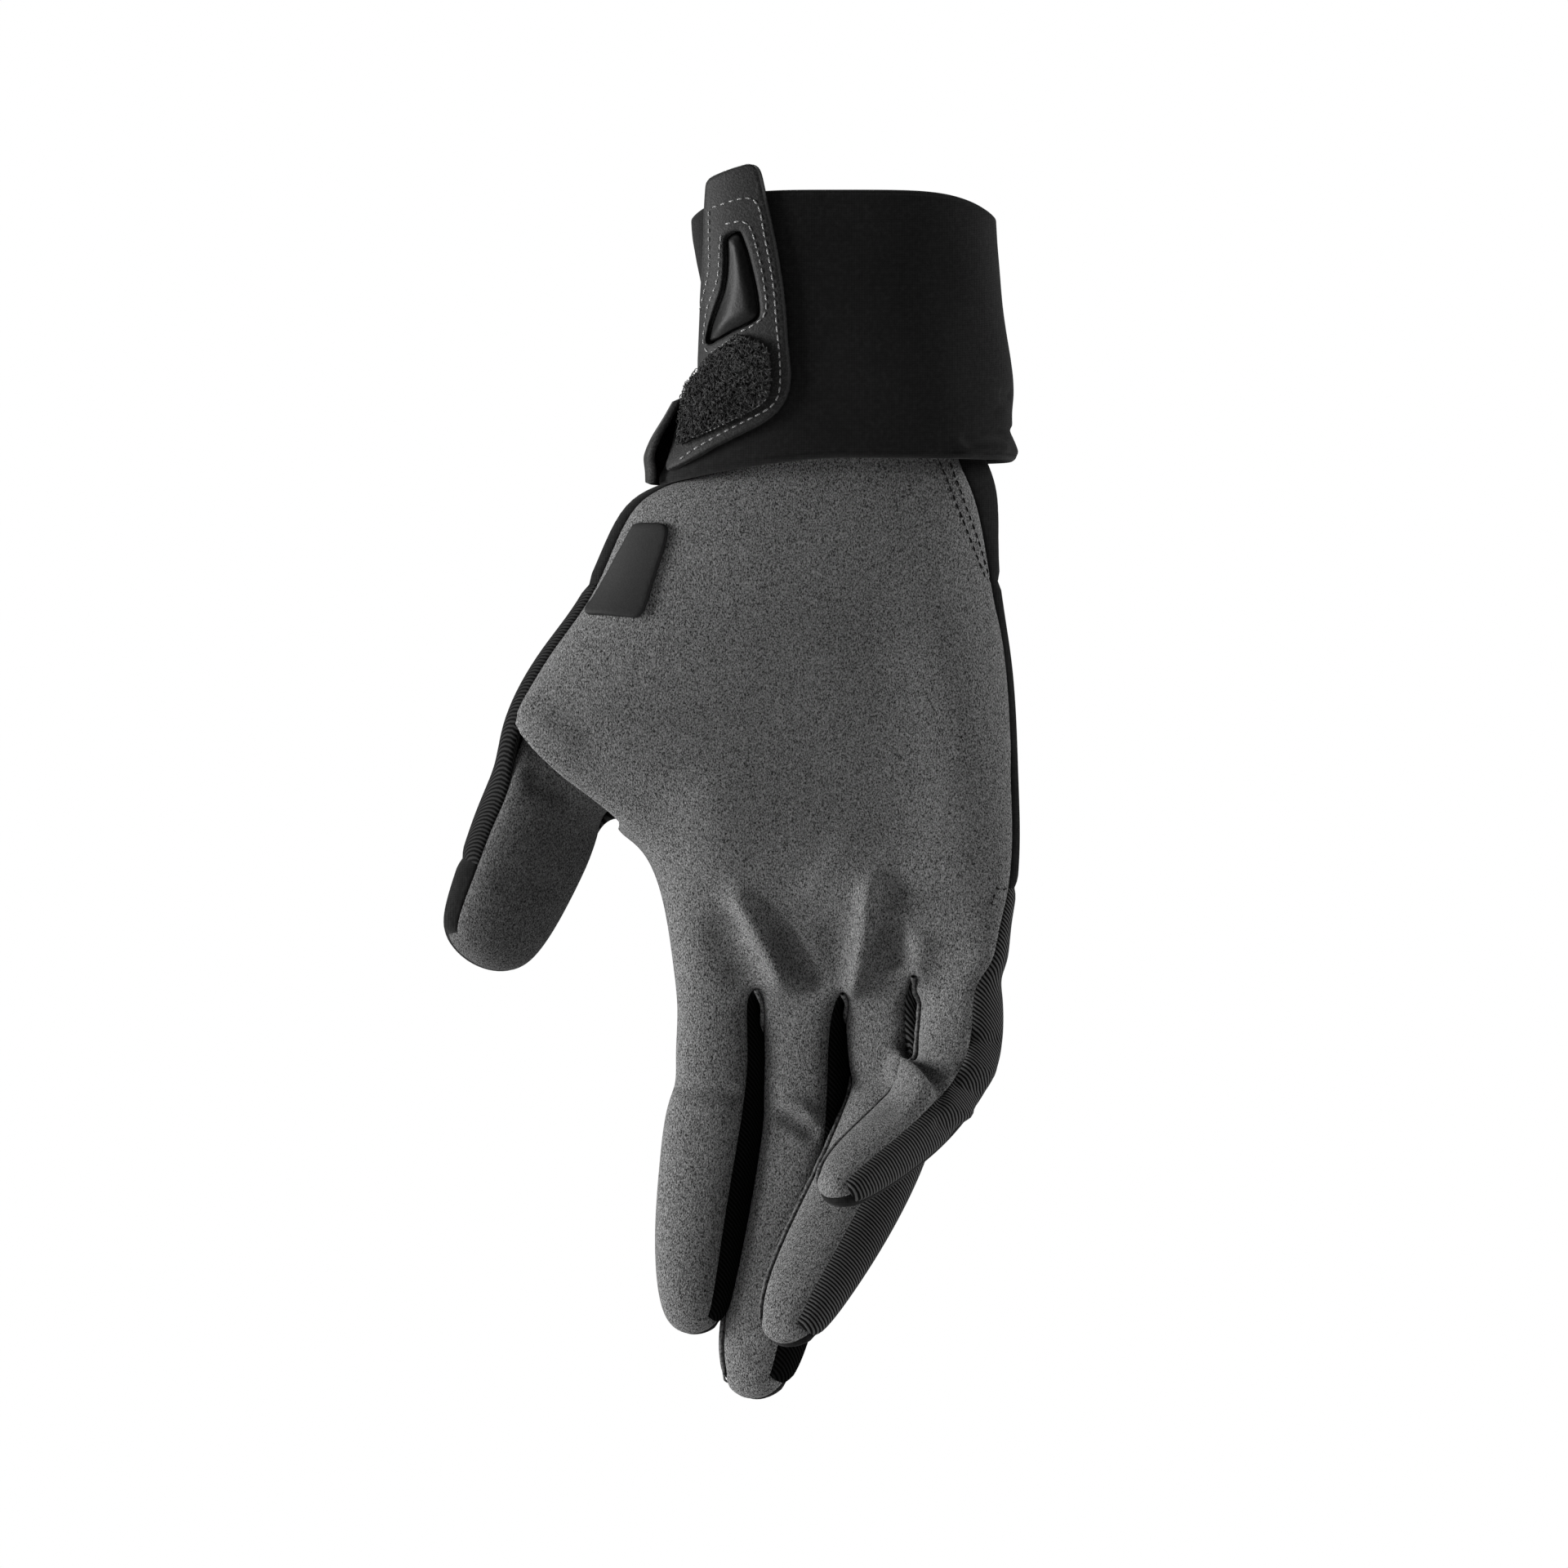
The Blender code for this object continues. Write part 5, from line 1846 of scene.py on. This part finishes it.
@dataclass
class Closure:
    """The closure on the cuff: strap, insert, loop patch and flap, with their stitches."""

    form: CuffForm

    def build(self) -> None:
        """Builds every piece of the closure."""
        face = LAY_GAP + STRAP_WALL
        drape = self.form.over
        Plate("closure_strap", STRAP_OUTLINE, STRAP_LEATHER, drape, LAY_GAP, STRAP_WALL, (WINDOW,)).build()
        edge = INSERT_WALL * INSERT_EDGE
        Plate("strap_insert", INSERT_OUTLINE, INSERT_LEATHER, drape, LAY_GAP, edge, crown=(1.1, 2.6)).build()
        patch = face + PATCH_GAP
        Plate("loop_patch", PATCH_OUTLINE, PILE_AND_GLINTS, drape, patch, PATCH_WALL, rounding=0.4).build()
        Pile(self.on_face(patch + PATCH_WALL)).build()
        rows = STRAP_OUTER_ROW + STRAP_INNER_ROW
        Stitches("strap_stitches", rows, GREY_THREAD, self.on_face(face), 1.5, 0.45, 0.21).build()
        top = self.on_face(face + PATCH_WALL + PATCH_GAP)
        Stitches("patch_stitches", PATCH_ROW, GREY_THREAD, top, 0.8, 0.25, 0.14).build()
        Flap(self.form).build()

    def on_face(self, height: float) -> Callable[[np.ndarray], tuple[np.ndarray, np.ndarray]]:
        """Gives points and normals on a plate's face that far over the cuff.

        Args:
            height: the face's height over the cuff.

        Returns:
            A function of x and z.
        """

        def place(plane: np.ndarray) -> tuple[np.ndarray, np.ndarray]:
            low, high = self.form.over(plane, height - 0.5, height)
            return high, unit(high - low)

        return place


FLAP_LENGTH, FLAP_STAND = 19.0, 3.3
FLAP_TOP, FLAP_END, FLAP_POWER = 0.775, 0.72, 0.8
# The flap's length round the cuff, and how far in from an edge it is rounded
FLAP_REACH, FLAP_ROUNDING = 30.0, 0.6


@dataclass
class Flap:
    """The closure flap, which comes round from the back of the cuff and stands off it in front."""

    form: CuffForm
    rows: tuple[tuple[float, float, float], ...] = (
        (0.775, 0.80, -0.975),
        (0.835, 1.10, -0.965),
        (0.905, 1.45, -0.955),
        (0.965, 1.35, -0.955),
        (1.025, 0.75, -0.960),
        (1.070, 0.40, -0.970),
    )
    around: int = 48
    down: int = 40

    def build(self) -> None:
        """Builds the flap in its CAD node's place, from rows of down, stand and front edge."""
        table = resample(np.array(self.rows), 0.02)
        marks = np.linspace(0, len(table) - 1, self.down)
        down, stand, front = (np.interp(marks, np.arange(len(table)), column) for column in table.T)
        drop = (down - FLAP_TOP) / (down[-1] - FLAP_TOP)
        z = -FLAP_TOP * CUFF_LENGTH - drop * FLAP_LENGTH
        start = 2 * np.pi - np.arccos(signed_power(front, CUFF_POWER / 2))
        wrap = np.linspace(1, 0, self.around)
        angle = start[:, None] + (FLAP_END * np.pi - start[:, None]) * wrap
        height = LAY_GAP + FLAP_STAND * stand[:, None] * (1 - wrap) ** FLAP_POWER
        heights = np.broadcast_to(z[:, None], angle.shape)
        rows = np.linspace(0, 1, self.down)[:, None]
        columns = np.linspace(0, 1, self.around)[None]
        edge = np.minimum(np.minimum(rows, 1 - rows) * FLAP_LENGTH, (1 - columns) * FLAP_REACH)
        edge = edge / FLAP_ROUNDING
        wall = FLAP_WALL * (0.4 + 0.6 * np.sqrt(1 - (1 - np.clip(edge, 0, 1)) ** 2))
        outer = self.form.at(angle, heights, height + wall).reshape(-1, 3)
        inner = self.form.at(angle, heights, height).reshape(-1, 3)
        faces = shell_faces(grid_quads(self.down, self.around, False), len(outer))
        obj = add_mesh("closure_flap_plate", np.vstack([outer, inner]), faces, STRAP_LEATHER)
        place_piece(obj, STRAP_LEATHER, "closure_flap")


@dataclass
class PalmTrim:
    """What is sewn on the palm: the tag and the visible rows of stitches."""

    hand: Hand

    def build(self) -> None:
        """Builds the tag and the rows."""
        Plate("palm_tag", TAG_OUTLINE, TAG_RUBBER, self.over_palm, TAG_GAP, TAG_WALL, rounding=0.5).build()
        Stitches("gusset_stitches", GUSSET_ROWS, DARK_THREAD, self.hand.under, 1.5, 0.6, 0.19).build()
        rows = CROTCH_ROW + ULNAR_ROW
        Stitches("crotch_stitches", rows, DARK_THREAD, self.hand.under, 1.0, 0.5, 0.17).build()

    def over_palm(self, plane: np.ndarray, low: float, high: np.ndarray) -> tuple[np.ndarray, np.ndarray]:
        """Points over the palm at two distances from it."""
        points, normals = self.hand.under(plane)
        return points + normals * low, points + normals * np.asarray(high)[:, None]


# Stage


@dataclass
class Stage:
    """A pale floor well below the held-up glove, soft studio light, and the photograph's camera."""

    lens: float = 200.0
    sensor: float = 36.0
    floor_drop: float = 460.0
    floor_radius: float = 1.5
    floor_sides: int = 96
    ambient: float = 0.12
    aim: tuple[float, float, float] = (-0.014, 0.0, -0.132)

    def build(self) -> None:
        """Builds floor, world, lights and camera."""
        self.add_floor()
        self.add_world()
        self.add_light("key", (-1000, -130, -40), 450, 23.0)
        self.add_light("rim", (1000, -10, 300), 500, 12.0)
        self.add_light("front", (-300, -1000, 600), 500, 0.8)
        self.add_light("back", (0, 1000, 500), 600, 12.0)
        self.add_camera()

    def add_floor(self) -> None:
        """Adds a round floor with many sides."""
        turn = np.linspace(0, 2 * np.pi, self.floor_sides, endpoint=False)
        rim = np.stack([np.cos(turn), np.sin(turn), np.zeros(len(turn))], axis=1) * self.floor_radius / MM
        obj = add_mesh("floor", rim + (0, 0, -self.floor_drop), [tuple(range(len(turn)))], PALE_FLOOR)

    def add_world(self) -> None:
        """Makes the studio's walls: white to look at, and a dim even light on the glove."""
        world = bpy.data.worlds.new("studio")
        world.use_nodes = True
        tree = world.node_tree
        seen = add_node(tree, "LightPath").outputs["Is Camera Ray"]
        strength = add_node(tree, "MapRange", inputs={"Value": seen, "To Min": self.ambient, "To Max": 1.0})
        shade = tree.nodes["Background"]
        shade.inputs["Color"].default_value = (1.0, 1.0, 1.0, 1.0)
        tree.links.new(strength.outputs["Result"], shade.inputs["Strength"])
        bpy.context.scene.world = world
        bpy.context.scene.view_settings.view_transform = "Standard"

    def add_light(self, name: str, place: tuple[float, float, float], size: float, watts: float) -> None:
        """Adds a square area light that looks at the middle of the glove.

        Args:
            name: the light's name.
            place: its place in millimetres.
            size: its side's length in millimetres.
            watts: its power.
        """
        light = bpy.data.lights.new(name, "AREA")
        light.energy = watts
        light.size = size * MM
        obj = bpy.data.objects.new(name, light)
        bpy.context.scene.collection.objects.link(obj)
        obj.location = Vector(place) * MM
        obj.rotation_euler = (Vector(self.aim) - obj.location).to_track_quat("-Z", "Y").to_euler()

    def add_camera(self) -> None:
        """Adds the camera, level and straight in front of the frame's centre."""
        middle = from_photo([(FRAME_PIXELS / 2, FRAME_PIXELS / 2)])[0] * MM
        width = FRAME_PIXELS * PIXEL * MM
        distance = width * self.lens / self.sensor
        camera = bpy.data.cameras.new("camera")
        camera.lens = self.lens
        camera.sensor_width = self.sensor
        obj = bpy.data.objects.new("camera", camera)
        bpy.context.scene.collection.objects.link(obj)
        obj.location = (middle[0], -distance, middle[1])
        obj.rotation_euler = (math.pi / 2, 0.0, 0.0)
        bpy.context.scene.camera = obj


def main() -> None:
    """Builds the glove and its stage in order."""
    logging.basicConfig(level=logging.INFO, format="%(name)s: %(message)s")
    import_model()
    hand = Hand()
    SewnPanels(hand).build()
    TurnedEdges(hand).build()
    form = CuffForm()
    Cuff(form).build()
    Closure(form).build()
    PalmTrim(hand).build()
    Stage().build()


if __name__ == "__main__":
    main()
